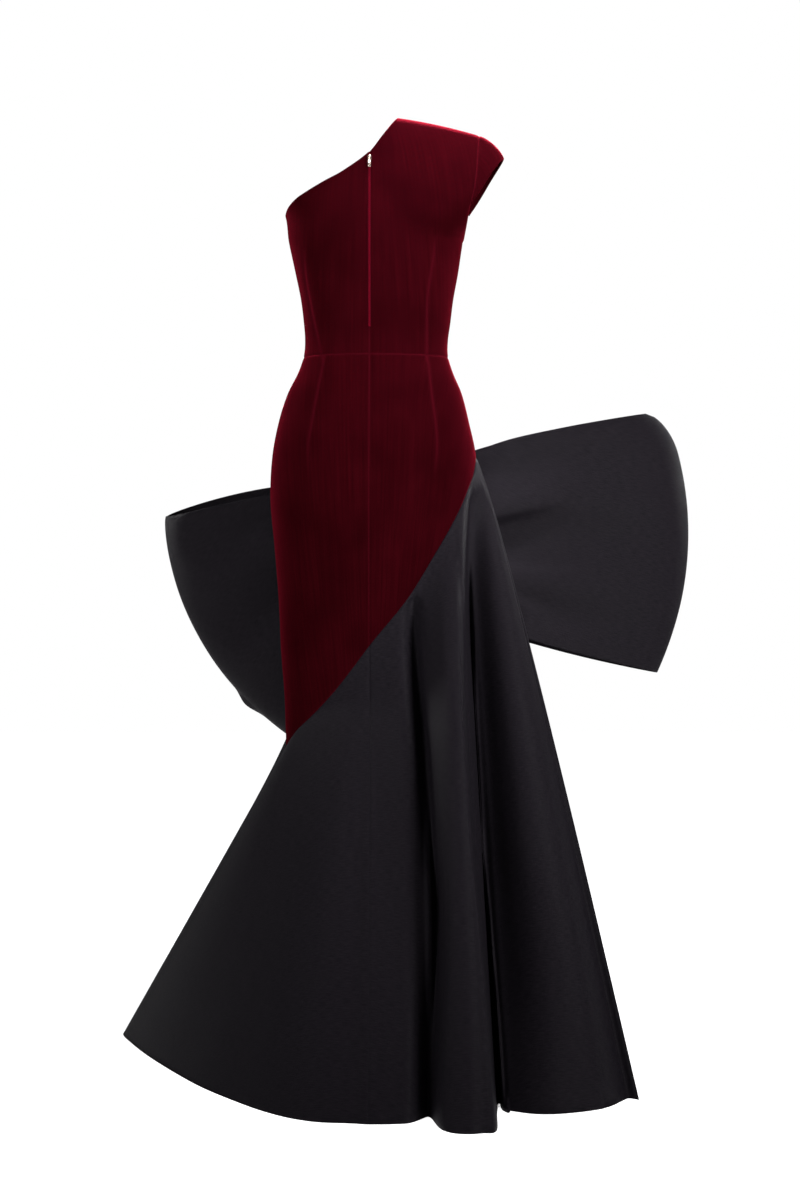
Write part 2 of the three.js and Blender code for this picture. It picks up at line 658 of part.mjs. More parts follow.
// The pull is a flat tab whose cross bar runs through the bridge, drawn with the bar's axis at its origin.
function pullGeometry() {
  const half = PULL.wide / 2;
  const tab = new THREE.Shape();
  tab.moveTo(half, PULL.bar);
  tab.lineTo(-half, PULL.bar);
  tab.lineTo(-half, PULL.endRound - PULL.long);
  tab.quadraticCurveTo(-half, -PULL.long, 0, -PULL.long);
  tab.quadraticCurveTo(half, -PULL.long, half, PULL.endRound - PULL.long);
  tab.closePath();
  const window = new THREE.Path();
  window.moveTo(-PULL.window, -PULL.bar);
  window.lineTo(PULL.window, -PULL.bar);
  window.lineTo(PULL.window, -PULL.windowEnd);
  window.lineTo(-PULL.window, -PULL.windowEnd);
  window.closePath();
  tab.holes.push(window);
  return extruded(tab, PULL.thick).rotateX(Math.PI / 2).translate(0, PULL.thick / 2, 0);
}

// The whole gown, moved so that its origin is where the shoulder carries it.
const gown = new THREE.Group();
const mountHeight = shoulderHeight(SHOULDER_MOUNT.x) - VELVET_THICKNESS;
gown.position.set(-SHOULDER_MOUNT.x, -SHOULDER_MOUNT.y, -mountHeight);

function add(name, geometry, material, parent = gown) {
  const mesh = new THREE.Mesh(geometry, MATERIALS[material]);
  mesh.name = name;
  parent.add(mesh);
  return mesh;
}

add("bodice_back_left", bodiceBackLeft(), "velvet");
add("bodice_back_right", bodiceBackRight(), "velvet");
add("bodice_front", bodiceFront(), "velvet");
add("cap_sleeve", wall(capPoint, even(STEPS.cap.across), even(STEPS.cap.up), VELVET_THICKNESS), "velvet");
add("skirt_back_left", skirt(-90, 0, STEPS.skirtBackLeft), "velvet");
add("skirt_back_right", skirt(0, 90, STEPS.skirtBackRight), "velvet");
add("skirt_front", skirt(90, 270, STEPS.skirtFront), "velvet");
add("flounce_back_left", flounce(-90, 0, STEPS.flounceBack), "faille");
add("flounce_back_right", flounce(0, 90, STEPS.flounceBack), "faille");
add("flounce_front", flounce(90, 270, STEPS.flounceFront), "faille");
LOOPS.forEach((loop) => add(loop.name, bowLoop(loop), "faille"));
add("bow_knot", knot(), "faille");
add("zip_chain", wall(zipPoint, even(STEPS.zip.across), even(STEPS.zip.up), ZIP.thickness), "zip");

const sliderSeat = backSurface(0, SLIDER.height);
const fastener = new THREE.Group();
fastener.position.copy(sliderSeat.point);
fastener.rotation.x = Math.atan2(sliderSeat.out.z, sliderSeat.out.y);
gown.add(fastener);
add("zip_slider", sliderGeometry(), "metal", fastener);
add("zip_pull", pullGeometry(), "metal", fastener).position.y = SLIDER_FACE + PULL.axisRise;

export default gown;
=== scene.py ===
"""A one-shoulder evening gown: burgundy velvet to a slanted seam, then a black faille flounce with a train.

The gown is worked out in millimetres standing on the floor, with x to the wearer's left, y to the wearer's
back and z up. It is then moved to the frame's origin, inside the shoulder seam, and turned to metres.
Turns are degrees round the body: 0 centre back, 90 the wearer's right, 180 front, 270 left.
"""
from __future__ import annotations

import logging
import math
from dataclasses import dataclass, field
from enum import Enum
from typing import Callable, Sequence

import bpy
import numpy as np
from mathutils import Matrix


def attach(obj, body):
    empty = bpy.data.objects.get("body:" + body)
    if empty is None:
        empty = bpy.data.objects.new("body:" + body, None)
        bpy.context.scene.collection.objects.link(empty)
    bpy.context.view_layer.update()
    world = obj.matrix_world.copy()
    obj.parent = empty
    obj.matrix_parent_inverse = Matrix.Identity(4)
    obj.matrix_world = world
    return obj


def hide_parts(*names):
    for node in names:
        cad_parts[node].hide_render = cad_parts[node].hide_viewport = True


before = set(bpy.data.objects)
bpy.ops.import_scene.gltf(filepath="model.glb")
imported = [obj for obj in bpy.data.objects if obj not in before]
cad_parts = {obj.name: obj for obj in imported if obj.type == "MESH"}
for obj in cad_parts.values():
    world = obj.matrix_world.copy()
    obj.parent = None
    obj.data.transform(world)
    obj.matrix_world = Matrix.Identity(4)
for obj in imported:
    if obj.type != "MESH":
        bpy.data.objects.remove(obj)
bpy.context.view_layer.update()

LOG = logging.getLogger("gown")
Array = np.ndarray
Surface = Callable[[Array, Array], Array]
Curve = Callable[[Array], Array]

MM = 0.001
FULL_TURN = 360.0
# Short steps between two rows of a crease's path
PATH_STEPS = 8


def mix(low: Array | float, high: Array | float, share: Array | float) -> Array | float:
    """Goes from low to high as the share goes from 0 to 1."""
    return low + (high - low) * share


def smooth(share: Array | float) -> Array:
    """Eases from 0 to 1: three times the square less twice the cube of the share."""
    held = np.clip(share, 0, 1)
    return held * held * (3 - 2 * held)


def hump(offset: Array, width: Array | float) -> Array:
    """A bell of height 1: e to the minus square of offset over width."""
    return np.exp(-np.square(offset / width))


def unit(vectors: Array) -> Array:
    """Vectors of length 1 the same way."""
    return vectors / np.maximum(np.linalg.norm(vectors, axis=-1, keepdims=True), 1e-9)


@dataclass(frozen=True)
class Table:
    """A short table with named columns, read as smooth curves.

    Attributes:
        names: The columns' names, parted by spaces.
        rows: The rows, in rising order of the column that curves run over.
        ring: True where the table runs once round the body and joins its own start.
    """

    names: str
    rows: tuple[tuple[float, ...], ...]
    ring: bool = False

    def column(self, name: str) -> Array:
        """The values of one column."""
        at = self.names.split().index(name)
        return np.array([row[at] for row in self.rows], float)

    def curve(self, over: str, name: str) -> Curve:
        """A cubic through the rows whose slope at each row is that between its neighbours.

        Args:
            over: The column that the curve runs over.
            name: The column that it gives.

        Returns:
            A function from an array of places to an array of values, held at the table's ends.
        """
        xs, ys = self.column(over), self.column(name)
        if self.ring:
            xs = np.concatenate([xs - FULL_TURN, xs, xs + FULL_TURN])
            ys = np.tile(ys, 3)
        order = np.arange(len(xs))
        before, after = np.maximum(order - 1, 0), np.minimum(order + 1, len(xs) - 1)
        slopes = (ys[after] - ys[before]) / (xs[after] - xs[before])

        def value(at: Array) -> Array:
            """The curve's value at each place."""
            place = np.clip(at, xs[0], xs[-1])
            i = np.clip(np.searchsorted(xs, place) - 1, 0, len(xs) - 2)
            step = xs[i + 1] - xs[i]
            t = (place - xs[i]) / step
            bend = step * t * (1 - t) * ((1 - t) * slopes[i] - t * slopes[i + 1])
            return mix(ys[i], ys[i + 1], t * t * (3 - 2 * t)) + bend

        return value


class Edge(Enum):
    """The four edges of a piece of cloth, by its shares across and up."""

    START = "share across is 0"
    END = "share across is 1"
    FOOT = "share up is 0"
    TOP = "share up is 1"


@dataclass
class Grid:
    """A surface's points with what reliefs need to know of them.

    Attributes:
        u: Share across at each point.
        v: Share up at each point.
        points: Points in millimetres.
        normals: The way out of the cloth.
        across: Millimetres along the row from the first column.
        up: Millimetres along the column from the first row.
    """

    u: Array
    v: Array
    points: Array
    normals: Array
    across: Array
    up: Array

    def from_edge(self, edge: Edge) -> Array:
        """Millimetres from an edge, along the row or the column."""
        if edge is Edge.START:
            return self.across
        if edge is Edge.END:
            return self.across[-1:] - self.across
        if edge is Edge.FOOT:
            return self.up
        return self.up[:, -1:] - self.up


@dataclass(frozen=True)
class Camera:
    """The photograph's viewpoint, behind the wearer and level.

    Attributes:
        x: Place across, in the floor's millimetres.
        distance: Distance behind the middle of the body.
        height: Height over the floor.
        lens: Focal length for a sensor 36 mm on its long side.
    """

    x: float = -50.4
    distance: float = 4000.0
    height: float = 726.0
    lens: float = 71.43

    def seen(self, points: Array) -> Array:
        """Where points show in the plane of the body.

        Each point slides along its sight line to y = 0; the two numbers are x and z there.
        """
        scale = self.distance / (self.distance - points[..., 1])
        x = self.x + (points[..., 0] - self.x) * scale
        z = self.height + (points[..., 2] - self.height) * scale
        return np.stack([x, z], -1)

    def sight(self, points: Array) -> Array:
        """The way from points to the camera."""
        return unit(np.array([self.x, self.distance, self.height]) - points)


CAMERA = Camera()


def from_front(points: Array) -> Array:
    """Where points show straight from the front: x and z."""
    return points[..., [0, 2]]


@dataclass(frozen=True)
class Crease:
    """A soft ridge or trough along a path.

    Attributes:
        path: Rows of two places in the crease's plane and a height, all in millimetres. A height under 0 is a
            trough, and 0 at an end lets the crease run out.
        left: Width on the left of the path's direction.
        right: Width on its right.
        fan: How many times as wide it is at its end.
        steep: The power of its bell: 2 is round, and 4 has a flat floor between steep sides.
    """

    path: tuple[tuple[float, float, float], ...]
    left: float
    right: float
    fan: float = 1.0
    steep: float = 2.0

    def fine_path(self) -> Array:
        """The path as short steps of a cubic through its rows, with slopes from row to row."""
        rows = np.array(self.path, float)
        ends = np.vstack([2 * rows[0] - rows[1], rows, 2 * rows[-1] - rows[-2]])
        t = np.linspace(0, 1, PATH_STEPS + 1)[:-1, None, None]
        a, b, c, d = ends[:-3], ends[1:-2], ends[2:-1], ends[3:]
        steps = b + 0.5 * t * (c - a + t * (2 * a - 5 * b + 4 * c - d + t * (3 * (b - c) + d - a)))
        return np.vstack([steps.transpose(1, 0, 2).reshape(-1, 3), rows[-1:]])

    def rise(self, places: Array) -> Array:
        """Height that the crease adds at each place: its own height there times a bell over its width.

        Args:
            places: Pairs of millimetres in the crease's plane.

        Returns:
            Millimetres out of the cloth.
        """
        path = self.fine_path()
        spot = places.reshape(-1, 1, 2)
        a, run = path[:-1, :2], np.diff(path[:, :2], axis=0)
        share = ((spot - a) * run).sum(-1) / np.maximum((run * run).sum(-1), 1e-9)
        share = np.clip(share, 0, 1)
        away = spot - a - run * share[..., None]
        distance = np.linalg.norm(away, axis=-1)
        near = distance.argmin(1)
        pick = np.arange(len(near))
        side = run[near, 0] * away[pick, near, 1] - run[near, 1] * away[pick, near, 0]
        height = mix(path[near, 2], path[near + 1, 2], share[pick, near])
        gone = (near + share[pick, near]) / len(run)
        width = np.where(side > 0, self.left, self.right) * mix(1, self.fan, gone)
        bell = np.exp(-(distance[pick, near] / width) ** self.steep)
        return (height * bell).reshape(places.shape[:-1])


def creased(creases: Sequence[Crease], places: Array) -> Array:
    """The sum of what several creases add at each place."""
    return sum((crease.rise(places) for crease in creases), np.zeros(places.shape[:-1]))


def no_relief(grid: Grid) -> Array:
    """A smooth piece of cloth."""
    return np.zeros_like(grid.u)


@dataclass(frozen=True)
class Seam:
    """How deep and wide the cloth dips where it is sewn on, and how wide a band beside it gets a painted
    highlight, standing in for the sheen that the seam's edges catch.
    """

    depth: float = 1.0
    width: float = 2.6
    highlight_width: float = 1.5

    def dips(self, grid: Grid, edges: Sequence[Edge]) -> Array:
        """Depths under 0 along the sewn edges: a bell over the distance from each."""
        bells = (hump(grid.from_edge(edge), self.width) for edge in edges)
        return -self.depth * sum(bells, np.zeros_like(grid.u))


SEAM = Seam()
# Extra rows beside a seam, in millimetres from it, and the room that they keep from the even ones
STEPS_BY_A_SEAM = (1.1, 2.2, 3.4, 5.0)
ROOM_BY_A_SEAM = 1.15
FINE_STEPS = 1200


def shares(count: int, length: float, sewn: Sequence[Edge], first: Edge, last: Edge) -> Array:
    """Even shares from 0 to 1, with extra ones a few millimetres from each sewn edge.

    Args:
        count: Number of even steps.
        length: The piece's length that way, in millimetres.
        sewn: The piece's sewn edges.
        first: The edge at 0.
        last: The edge at 1.

    Returns:
        The shares in rising order.
    """
    near = np.array(STEPS_BY_A_SEAM) / length
    inner = np.linspace(0, 1, count + 1)
    low = near if first in sewn else near[:0]
    high = 1 - near if last in sewn else near[:0]
    lowest, highest = low.max(initial=0) * ROOM_BY_A_SEAM, 1 - (1 - high.min(initial=1)) * ROOM_BY_A_SEAM
    kept = inner[(inner > lowest) & (inner < highest)]
    return np.unique(np.concatenate([[0], low, kept, high, [1]]))


def lengths(points: Array, axis: int) -> Array:
    """Running length along an axis of a grid of points, from 0."""
    steps = np.linalg.norm(np.diff(points, axis=axis), axis=-1)
    total = np.cumsum(steps, axis=axis)
    start = np.zeros_like(np.take(total, [0], axis=axis))
    return np.concatenate([start, total], axis=axis)


def even_by_length(surface: Surface, count: int, at: float) -> Array:
    """Shares across a surface that part one of its rows into equal lengths.

    Args:
        surface: The surface.
        count: Number of steps.
        at: Share up of the row.

    Returns:
        The shares across.
    """
    fine = np.linspace(0, 1, FINE_STEPS + 1)
    run = lengths(surface(fine, np.full_like(fine, at)), 0)
    return np.interp(np.linspace(0, run[-1], count + 1), run, fine)


class Origin:
    """Where the frame's origin lies over the floor: inside the middle of the shoulder seam."""

    def __init__(self, mount_x: float, mount_height: float) -> None:
        """Keeps the place of the mount, in the floor's millimetres."""
        self.place = np.array([mount_x, 0.0, mount_height])

    def metres(self, points: Array) -> Array:
        """Points of the floor's millimetres as metres in the frame."""
        return (points - self.place) * MM


def mesh_piece(
    name: str, points: Array, faces: Array, uvs: Array | None = None, painted_seam_highlight: Array | None = None
) -> bpy.types.Object:
    """Puts a mesh of four-sided faces into the scene, shaded smooth.

    Args:
        name: The piece's name.
        points: Points in metres, one row each.
        faces: Rows of four point numbers, with the fourth the same as the third in a triangle.
        uvs: Two numbers for each corner of each face, in metres on the cloth.
        painted_seam_highlight: How much painted highlight each point gets beside seams and darts, from 0 to
            1, in place of the sheen that their edges catch.

    Returns:
        The object, at the origin.
    """
    three = faces[:, 2] == faces[:, 3]
    counts = np.where(three, 3, 4).astype(np.int32)
    keep = np.ones(faces.shape, bool)
    keep[three, 3] = False
    corners = faces[keep].astype(np.int32)
    mesh = bpy.data.meshes.new(name)
    mesh.vertices.add(len(points))
    mesh.vertices.foreach_set("co", points.astype(np.float32).ravel())
    mesh.loops.add(len(corners))
    mesh.loops.foreach_set("vertex_index", corners)
    mesh.polygons.add(len(faces))
    starts = np.concatenate([[0], np.cumsum(counts)[:-1]]).astype(np.int32)
    mesh.polygons.foreach_set("loop_start", starts)
    mesh.polygons.foreach_set("loop_total", counts)
    mesh.polygons.foreach_set("use_smooth", np.ones(len(faces), bool))
    if uvs is not None:
        layer = mesh.uv_layers.new(name="cloth")
        layer.data.foreach_set("uv", uvs[keep].astype(np.float32).ravel())
    if painted_seam_highlight is not None:
        attribute = mesh.attributes.new("painted_seam_highlight", "FLOAT", "POINT")
        attribute.data.foreach_set("value", painted_seam_highlight.astype(np.float32))
    mesh.update(calc_edges=True)
    mesh.validate()
    piece = bpy.data.objects.new(name, mesh)
    bpy.context.scene.collection.objects.link(piece)
    return piece


@dataclass
class Cloth:
    """One cut piece of cloth as a closed thin shell on its surface.

    Attributes:
        name: The name of the node that it replaces.
        surface: Points from shares across and up; across times up points out of the cloth.
        columns: Shares across.
        rows: Shares up.
        thickness: Millimetres of the cloth and what is turned in behind it.
        sewn: Edges that meet a neighbour. The others are turned edges with a round rim.
        relief: Millimetres out of the cloth at each point.
        darts: How near each point is to a dart's stitches, from 0 to 1, which sets the painted highlight
            along them.
        toward: The way in which the relief moves points, where it isn't straight out of the cloth.
        closed: True where the last column meets the first.
        runs_on: True where the surface goes on past its sides, so that neighbours share their slant.
        grain: Share across of the straight grain, from which the weave is measured along the rows.
        level: The edge from whose height the weave is measured down or up the columns, or None for the foot.
        rim_steps: Rows of points round a turned edge.
        sewn_rim: How far a sewn edge is rounded, as a share of a turned one.
        step: The small step across and up by which the normals are taken.
    """

    name: str
    surface: Surface
    columns: Array
    rows: Array
    thickness: float
    sewn: tuple[Edge, ...] = ()
    relief: Callable[[Grid], Array] = no_relief
    darts: Callable[[Grid], Array] = no_relief
    toward: Callable[[Array], Array] | None = None
    closed: bool = False
    runs_on: bool = False
    grain: float = 0.5
    level: Edge | None = None
    rim_steps: int = 3
    sewn_rim: float = 0.02
    step: float = 0.002

    def grid(self) -> Grid:
        """The points, the normals by small steps each way, and the lengths along rows and columns."""
        u, v = np.meshgrid(self.columns, self.rows, indexing="ij")
        step = self.step
        held = (lambda share: share) if self.runs_on or self.closed else (lambda share: np.clip(share, 0, 1))
        across = self.surface(held(u + step), v) - self.surface(held(u - step), v)
        up = self.surface(u, np.clip(v + step, 0, 1)) - self.surface(u, np.clip(v - step, 0, 1))
        points = self.surface(u, v)
        return Grid(u, v, points, unit(np.cross(across, up)), lengths(points, 0), lengths(points, 1))

    def shell(self, grid: Grid) -> tuple[Array, Array]:
        """The outer points, moved out by the relief, and the inner ones, a thickness behind them."""
        way = self.toward(grid.points) if self.toward else grid.normals
        dips = SEAM.dips(grid, self.sewn)
        outer = grid.points + way * self.relief(grid)[..., None] + grid.normals * dips[..., None]
        inner = outer - grid.normals * self.thickness
        outer[..., 2] = np.maximum(outer[..., 2], 0)
        inner[..., 2] = np.maximum(inner[..., 2], 0)
        return outer, inner

    def rim(self, outer: Array, inner: Array, first: int) -> tuple[Array, Array, Array]:
        """Closes the shell's edge with a half round, flat where the edge is sewn.

        Each edge point is swung from the outer to the inner side about the middle of the cloth.

        Args:
            outer: The outer points.
            inner: The inner points.
            first: The number of the first new point.

        Returns:
            The new points, the faces, and the grid places of each face's corners, for its cloth coordinates.
        """
        n, m = outer.shape[:2]
        points, faces, places = [], [], []
        numbers = np.arange(n * m).reshape(n, m)
        for loop in self.edge_loops(n, m):
            i, j = loop[:, 0], loop[:, 1]
            middle, half = (outer[i, j] + inner[i, j]) / 2, (outer[i, j] - inner[i, j]) / 2
            inside_i = np.clip(i, 0 if self.closed else 1, n - 1 if self.closed else n - 2)
            inside = outer[inside_i, np.clip(j, 1, m - 2)]
            outwards = unit(outer[i, j] - inside) * (self.thickness / 2)
            outwards[self.flat_places(i, j, n, m)] *= self.sewn_rim
            rows = [numbers[i, j]]
            for k in range(1, self.rim_steps + 1):
                angle = math.pi * k / (self.rim_steps + 1)
                swung = middle + half * math.cos(angle) + outwards * math.sin(angle)
                swung[:, 2] = np.maximum(swung[:, 2], 0)
                rows.append(first + sum(len(block) for block in points) + np.arange(len(loop)))
                points.append(swung)
            rows.append(n * m + numbers[i, j])
            ahead = np.roll(np.arange(len(loop)), -1)
            for low, high in zip(rows, rows[1:]):
                faces.append(np.stack([low, high, high[ahead], low[ahead]], -1))
                nearby = loop[ahead].copy()
                if self.closed and j[0] == 0:
                    nearby[-1, 0] = n
                places.append(np.stack([loop, loop, nearby, nearby], 1))
        return np.vstack(points), np.vstack(faces), np.vstack(places)

    def edge_loops(self, n: int, m: int) -> list[Array]:
        """The grid places of the edge, in order, as one loop or as two if it is closed."""
        if self.closed:
            low = np.stack([np.arange(n), np.zeros(n, int)], -1)
            high = np.stack([np.arange(n)[::-1], np.full(n, m - 1)], -1)
            return [low, high]
        bottom = [(i, 0) for i in range(n)]
        right = [(n - 1, j) for j in range(1, m)]
        top = [(i, m - 1) for i in range(n - 2, -1, -1)]
        left = [(0, j) for j in range(m - 2, 0, -1)]
        return [np.array(bottom + right + top + left)]

    def flat_places(self, i: Array, j: Array, n: int, m: int) -> Array:
        """True at the edge places that are sewn."""
        on_edge = {Edge.START: i == 0, Edge.END: i == n - 1, Edge.FOOT: j == 0, Edge.TOP: j == m - 1}
        return sum((on_edge[edge] for edge in self.sewn), np.zeros(len(i), bool)).astype(bool)

    def build(self, origin: Origin) -> bpy.types.Object:
        """Makes the piece.

        Args:
            origin: The frame's origin.

        Returns:
            The object, its cloth coordinates in metres along the rows and up the columns.
        """
        grid = self.grid()
        outer, inner = self.shell(grid)
        n, m = grid.u.shape
        spans = n if self.closed else n - 1
        i, j = (part.ravel() for part in np.meshgrid(np.arange(spans), np.arange(m - 1), indexing="ij"))
        places = np.stack([np.stack([i + a, j + b], -1) for a, b in ((0, 0), (1, 0), (1, 1), (0, 1))], 1)
        front = (places[..., 0] % n) * m + places[..., 1]
        back = front[:, [0, 3, 2, 1]] + n * m
        rim_points, rim_faces, rim_places = self.rim(outer, inner, 2 * n * m)
        points = np.vstack([outer.reshape(-1, 3), inner.reshape(-1, 3), rim_points])
        faces = np.vstack([front, back, rim_faces])
        corners = np.vstack([places, places[:, [0, 3, 2, 1]], rim_places])
        across, up = grid.across - grid.across[np.abs(self.columns - self.grain).argmin()], grid.up
        if self.level is Edge.FOOT:
            up = up + grid.points[:, :1, 2]
        if self.level is Edge.TOP:
            up = up - up[:, -1:] + grid.points[:, -1:, 2]
        if self.closed:
            last = np.linalg.norm(grid.points[0] - grid.points[-1], axis=-1)
            across = np.vstack([across, across[-1:] + last])
            up = np.vstack([up, up[:1]])
        uvs = np.stack([across[corners[..., 0], corners[..., 1]], up[corners[..., 0], corners[..., 1]]], -1)
        # How much painted highlight each point gets along seams and darts, in place of the sheen that their
        # edges catch
        near = sum((hump(grid.from_edge(edge), SEAM.highlight_width) for edge in self.sewn), self.darts(grid))
        painted_seam_highlight = np.zeros(len(points))
        painted_seam_highlight[:n * m] = np.clip(near, 0, 1).ravel()
        return mesh_piece(self.name + "_cloth", origin.metres(points), faces, uvs * MM, painted_seam_highlight)


BODY_SECTIONS = Table("height left right front back", (
    (440, 140, 150, 100, 104),
    (560, 143, 154, 103, 111),
    (640, 149, 158, 106, 117),
    (726, 153, 164, 110, 127),
    (815, 160, 171, 112, 134),
    (896, 167, 178, 112, 136),
    (966, 164, 178, 106, 124),
    (1025, 153, 166, 98, 108),
    (1072, 138, 154, 91, 94),
    (1108, 120, 139, 86, 84),
    (1136, 111, 131, 84, 80),
    (1161, 109, 131, 86, 80),
    (1190, 111, 135, 93, 83),
    (1230, 116, 140, 106, 88),
    (1274, 125, 148, 116, 92),
    (1320, 135, 155, 114, 95),
    (1330, 136.8, 157.3, 112.9, 95.2),
    (1369, 142, 190, 106, 95),
    (1410, 160, 222, 100, 93),
    (1460, 200, 240, 96, 92),
    (1540, 240, 240, 94, 92),
))


@dataclass(frozen=True)
class BodyForm:
    """The outline that the fitted cloth takes on a general figure.

    Each height has a rounded oval whose half widths and depths come from the sections. Over the arch's start
    the depth closes to nothing at the shoulder line, and two soft rounds give the fullness of the bust.
    """

    roundness: float = 2.2
    neck_x: float = -47.0
    neck_height: float = 1534.0
    tip_x: float = -183.0
    shoulder_fall: float = 0.14
    shoulder_curl: float = 0.00055
    arch_start: float = 1380.0
    bust_height: float = 1286.0
    bust_turn: float = 33.0
    bust_rise: float = 9.0
    bust_width: float = 17.0
    bust_tall: float = 52.0
    left_of: Curve = field(default=BODY_SECTIONS.curve("height", "left"))
    right_of: Curve = field(default=BODY_SECTIONS.curve("height", "right"))
    front_of: Curve = field(default=BODY_SECTIONS.curve("height", "front"))
    back_of: Curve = field(default=BODY_SECTIONS.curve("height", "back"))

    def shoulder_height(self, x: Array | float) -> Array:
        """Height of the shoulder line: from the neck's, less a slope and a square of the way out."""
        out = np.maximum(np.abs(x) + self.neck_x, 0)
        return self.neck_height - self.shoulder_fall * out - self.shoulder_curl * out * out

    def arch_share(self, x: Array, height: Array) -> Array:
        """Share of the depth left under the shoulder line: a quarter of a rounded oval over the rise."""
        rise = (height - self.arch_start) / (self.shoulder_height(x) - self.arch_start)
        return np.maximum(1 - np.clip(rise, 0, None) ** self.roundness, 0) ** (1 / self.roundness)

    def fullness(self, turn: Array, height: Array) -> Array:
        """The bust: two bells round the body times one over the height."""
        ahead = np.mod(turn, FULL_TURN) - 180
        rounds = hump(ahead - self.bust_turn, self.bust_width) + hump(ahead + self.bust_turn, self.bust_width)
        return self.bust_rise * rounds * hump(height - self.bust_height, self.bust_tall)

    def point(self, turn: Array, height: Array) -> Array:
        """A point of the body's outside.

        The radius is the sum of the powers of sine over half width and cosine over depth, to the power of
        minus one over the roundness, plus the fullness.
        """
        angle = np.radians(turn)
        sine, cosine = np.sin(angle), np.cos(angle)
        side = np.where(sine > 0, self.right_of(height), self.left_of(height))
        depth = np.where(cosine > 0, self.back_of(height), self.front_of(height))
        power = self.roundness
        radius = ((np.abs(sine) / side) ** power + (np.abs(cosine) / depth) ** power) ** (-1 / power)
        radius = radius + self.fullness(turn, height)
        x = -radius * sine
        return np.stack([x, radius * cosine * self.arch_share(x, height), height + 0 * x], -1)

    def turn_to_reach(self, x: Array, height: Array, depth: Array) -> Array:
        """The turn, from the front or back line, at which the right side reaches x."""
        share = 1 - np.minimum(np.abs(x) / self.right_of(height), 1) ** self.roundness
        return np.degrees(np.arctan2(np.abs(x), depth * share ** (1 / self.roundness)))


BODY = BodyForm()

NECKLINE_BACK = Table("x height", (
    (-47, 1534), (-36, 1517), (-22, 1496), (0, 1465), (43, 1432),
    (75, 1415), (107, 1398), (123, 1389), (137, 1377), (142, 1369),
))
NECKLINE_FRONT = Table("x height", (
    (-47, 1534), (-41, 1500), (-28, 1462), (0, 1428), (35, 1407), (75, 1391), (110, 1380), (142, 1369),
))
ARMHOLE = Table("height x", (
    (1327, -156), (1361, -163), (1384, -168), (1404, -173), (1430, -177), (1470, -180), (1504, -183),
))
SEAM_HEIGHTS = Table("turn height", (
    (-90, 482), (-60, 516), (-32, 569), (0, 651), (27, 726), (46, 806), (62, 877), (72, 918), (90, 966),
    (118, 932), (153, 843), (180, 768), (210, 660), (240, 556),
), ring=True)
# Hem on the floor, and how late down the flounce the cloth moves sideways (spread) and backwards (sweep)
HEM = Table("turn x y spread sweep", (
    (-90, 413, 4, 1, 1.2),
    (-80, 390, 98, 1, 1.3),
    (-66, 331, 261, 1, 1.35),
    (-52, 261, 424, 1, 1.4),
    (-40, 200, 533, 1, 1.4),
    (-27, 138, 624, 1, 1.4),
    (-13, 69, 687, 1, 1.4),
    (0, -6, 705, 1, 1.4),
    (20, -59, 695, 1, 1.4),
    (35, -88, 676, 1, 1.4),
    (39, -99, 707, 1, 1.3),
    (44, -111, 745, 1, 1.25),
    (50, -132, 763, 1, 1.2),
    (57, -163, 759, 1, 1.2),
    (62, -183, 742, 1, 1.2),
    (66, -190, 617, 1, 1.3),
    (70, -208, 637, 0.95, 1.35),
    (75, -242, 650, 0.88, 1.35),
    (80, -286, 637, 0.82, 1.35),
    (85, -345, 596, 0.82, 1.35),
    (90, -382, 534, 0.82, 1.35),
    (95, -398, 540, 0.84, 1.35),
    (101, -392, 430, 0.9, 1.3),
    (111, -372, 255, 1, 1.3),
    (125, -325, 40, 1.05, 1.3),
    (142, -255, -130, 1.1, 1.5),
    (160, -150, -240, 1.2, 1.5),
    (180, 0, -285, 1.2, 1.5),
    (205, 150, -262, 1.2, 1.4),
    (230, 280, -190, 1.1, 1.3),
    (250, 370, -105, 1, 1.2),
), ring=True)
seam_height = SEAM_HEIGHTS.curve("turn", "height")
armhole_x = ARMHOLE.curve("height", "x")
neck_behind = NECKLINE_BACK.curve("x", "height")
neck_before = NECKLINE_FRONT.curve("x", "height")
hem_x, hem_y, hem_spread, hem_sweep = (HEM.curve("turn", name) for name in ("x", "y", "spread", "sweep"))


class Slot(Enum):
    """The record's material slots."""

    VELVET = "velvet"
    FAILLE = "faille"
    ZIP_COIL = "zip_coil"
    ZIP_METAL = "zip_metal"


def srgb(code: str) -> tuple[float, float, float, float]:
    """An sRGB hex code as linear red, green, blue and an alpha of 1."""
    parts = [int(code[i:i + 2], 16) / 255 for i in (1, 3, 5)]
    linear = [p / 12.92 if p <= 0.04045 else ((p + 0.055) / 1.055) ** 2.4 for p in parts]
    return (*linear, 1.0)


def add_node(
    tree: bpy.types.NodeTree, kind: str, links: dict[str | int, object] | None = None, **settings: object
) -> bpy.types.Node:
    """Adds a node.

    Args:
        tree: The node tree.
        kind: The node's type.
        links: What goes into its inputs: a value, or another node's output.
        settings: Its own settings.

    Returns:
        The node.
    """
    made = tree.nodes.new(kind)
    for key, value in settings.items():
        setattr(made, key, value)
    for key, value in (links or {}).items():
        if isinstance(value, bpy.types.NodeSocket):
            tree.links.new(value, made.inputs[key])
        else:
            made.inputs[key].default_value = value
    return made


# Numbers of the mix node's inputs for colours, and of its result
SHARE, LOW, HIGH, MIXED = 0, 6, 7, 2
# A wave node's bands repeat after a tenth of pi over its scale
WAVE = math.pi / 10


@dataclass(frozen=True)
class Finish:
    """A material by its name. Each real one says in shade what goes into its surface shader."""

    name: str = ""

    def shade(self, tree: bpy.types.NodeTree) -> dict[str, object]:
        """Adds the pattern's nodes and gives the shader's inputs."""
        raise NotImplementedError

    def build(self) -> bpy.types.Material:
        """Makes the material: the pattern, the surface shader and the output."""
        material = bpy.data.materials.new(self.name)
        material.use_nodes = True
        tree = material.node_tree
        tree.nodes.clear()
        shader = add_node(tree, "ShaderNodeBsdfPrincipled", self.shade(tree))
        add_node(tree, "ShaderNodeOutputMaterial", {"Surface": shader.outputs["BSDF"]})
        return material


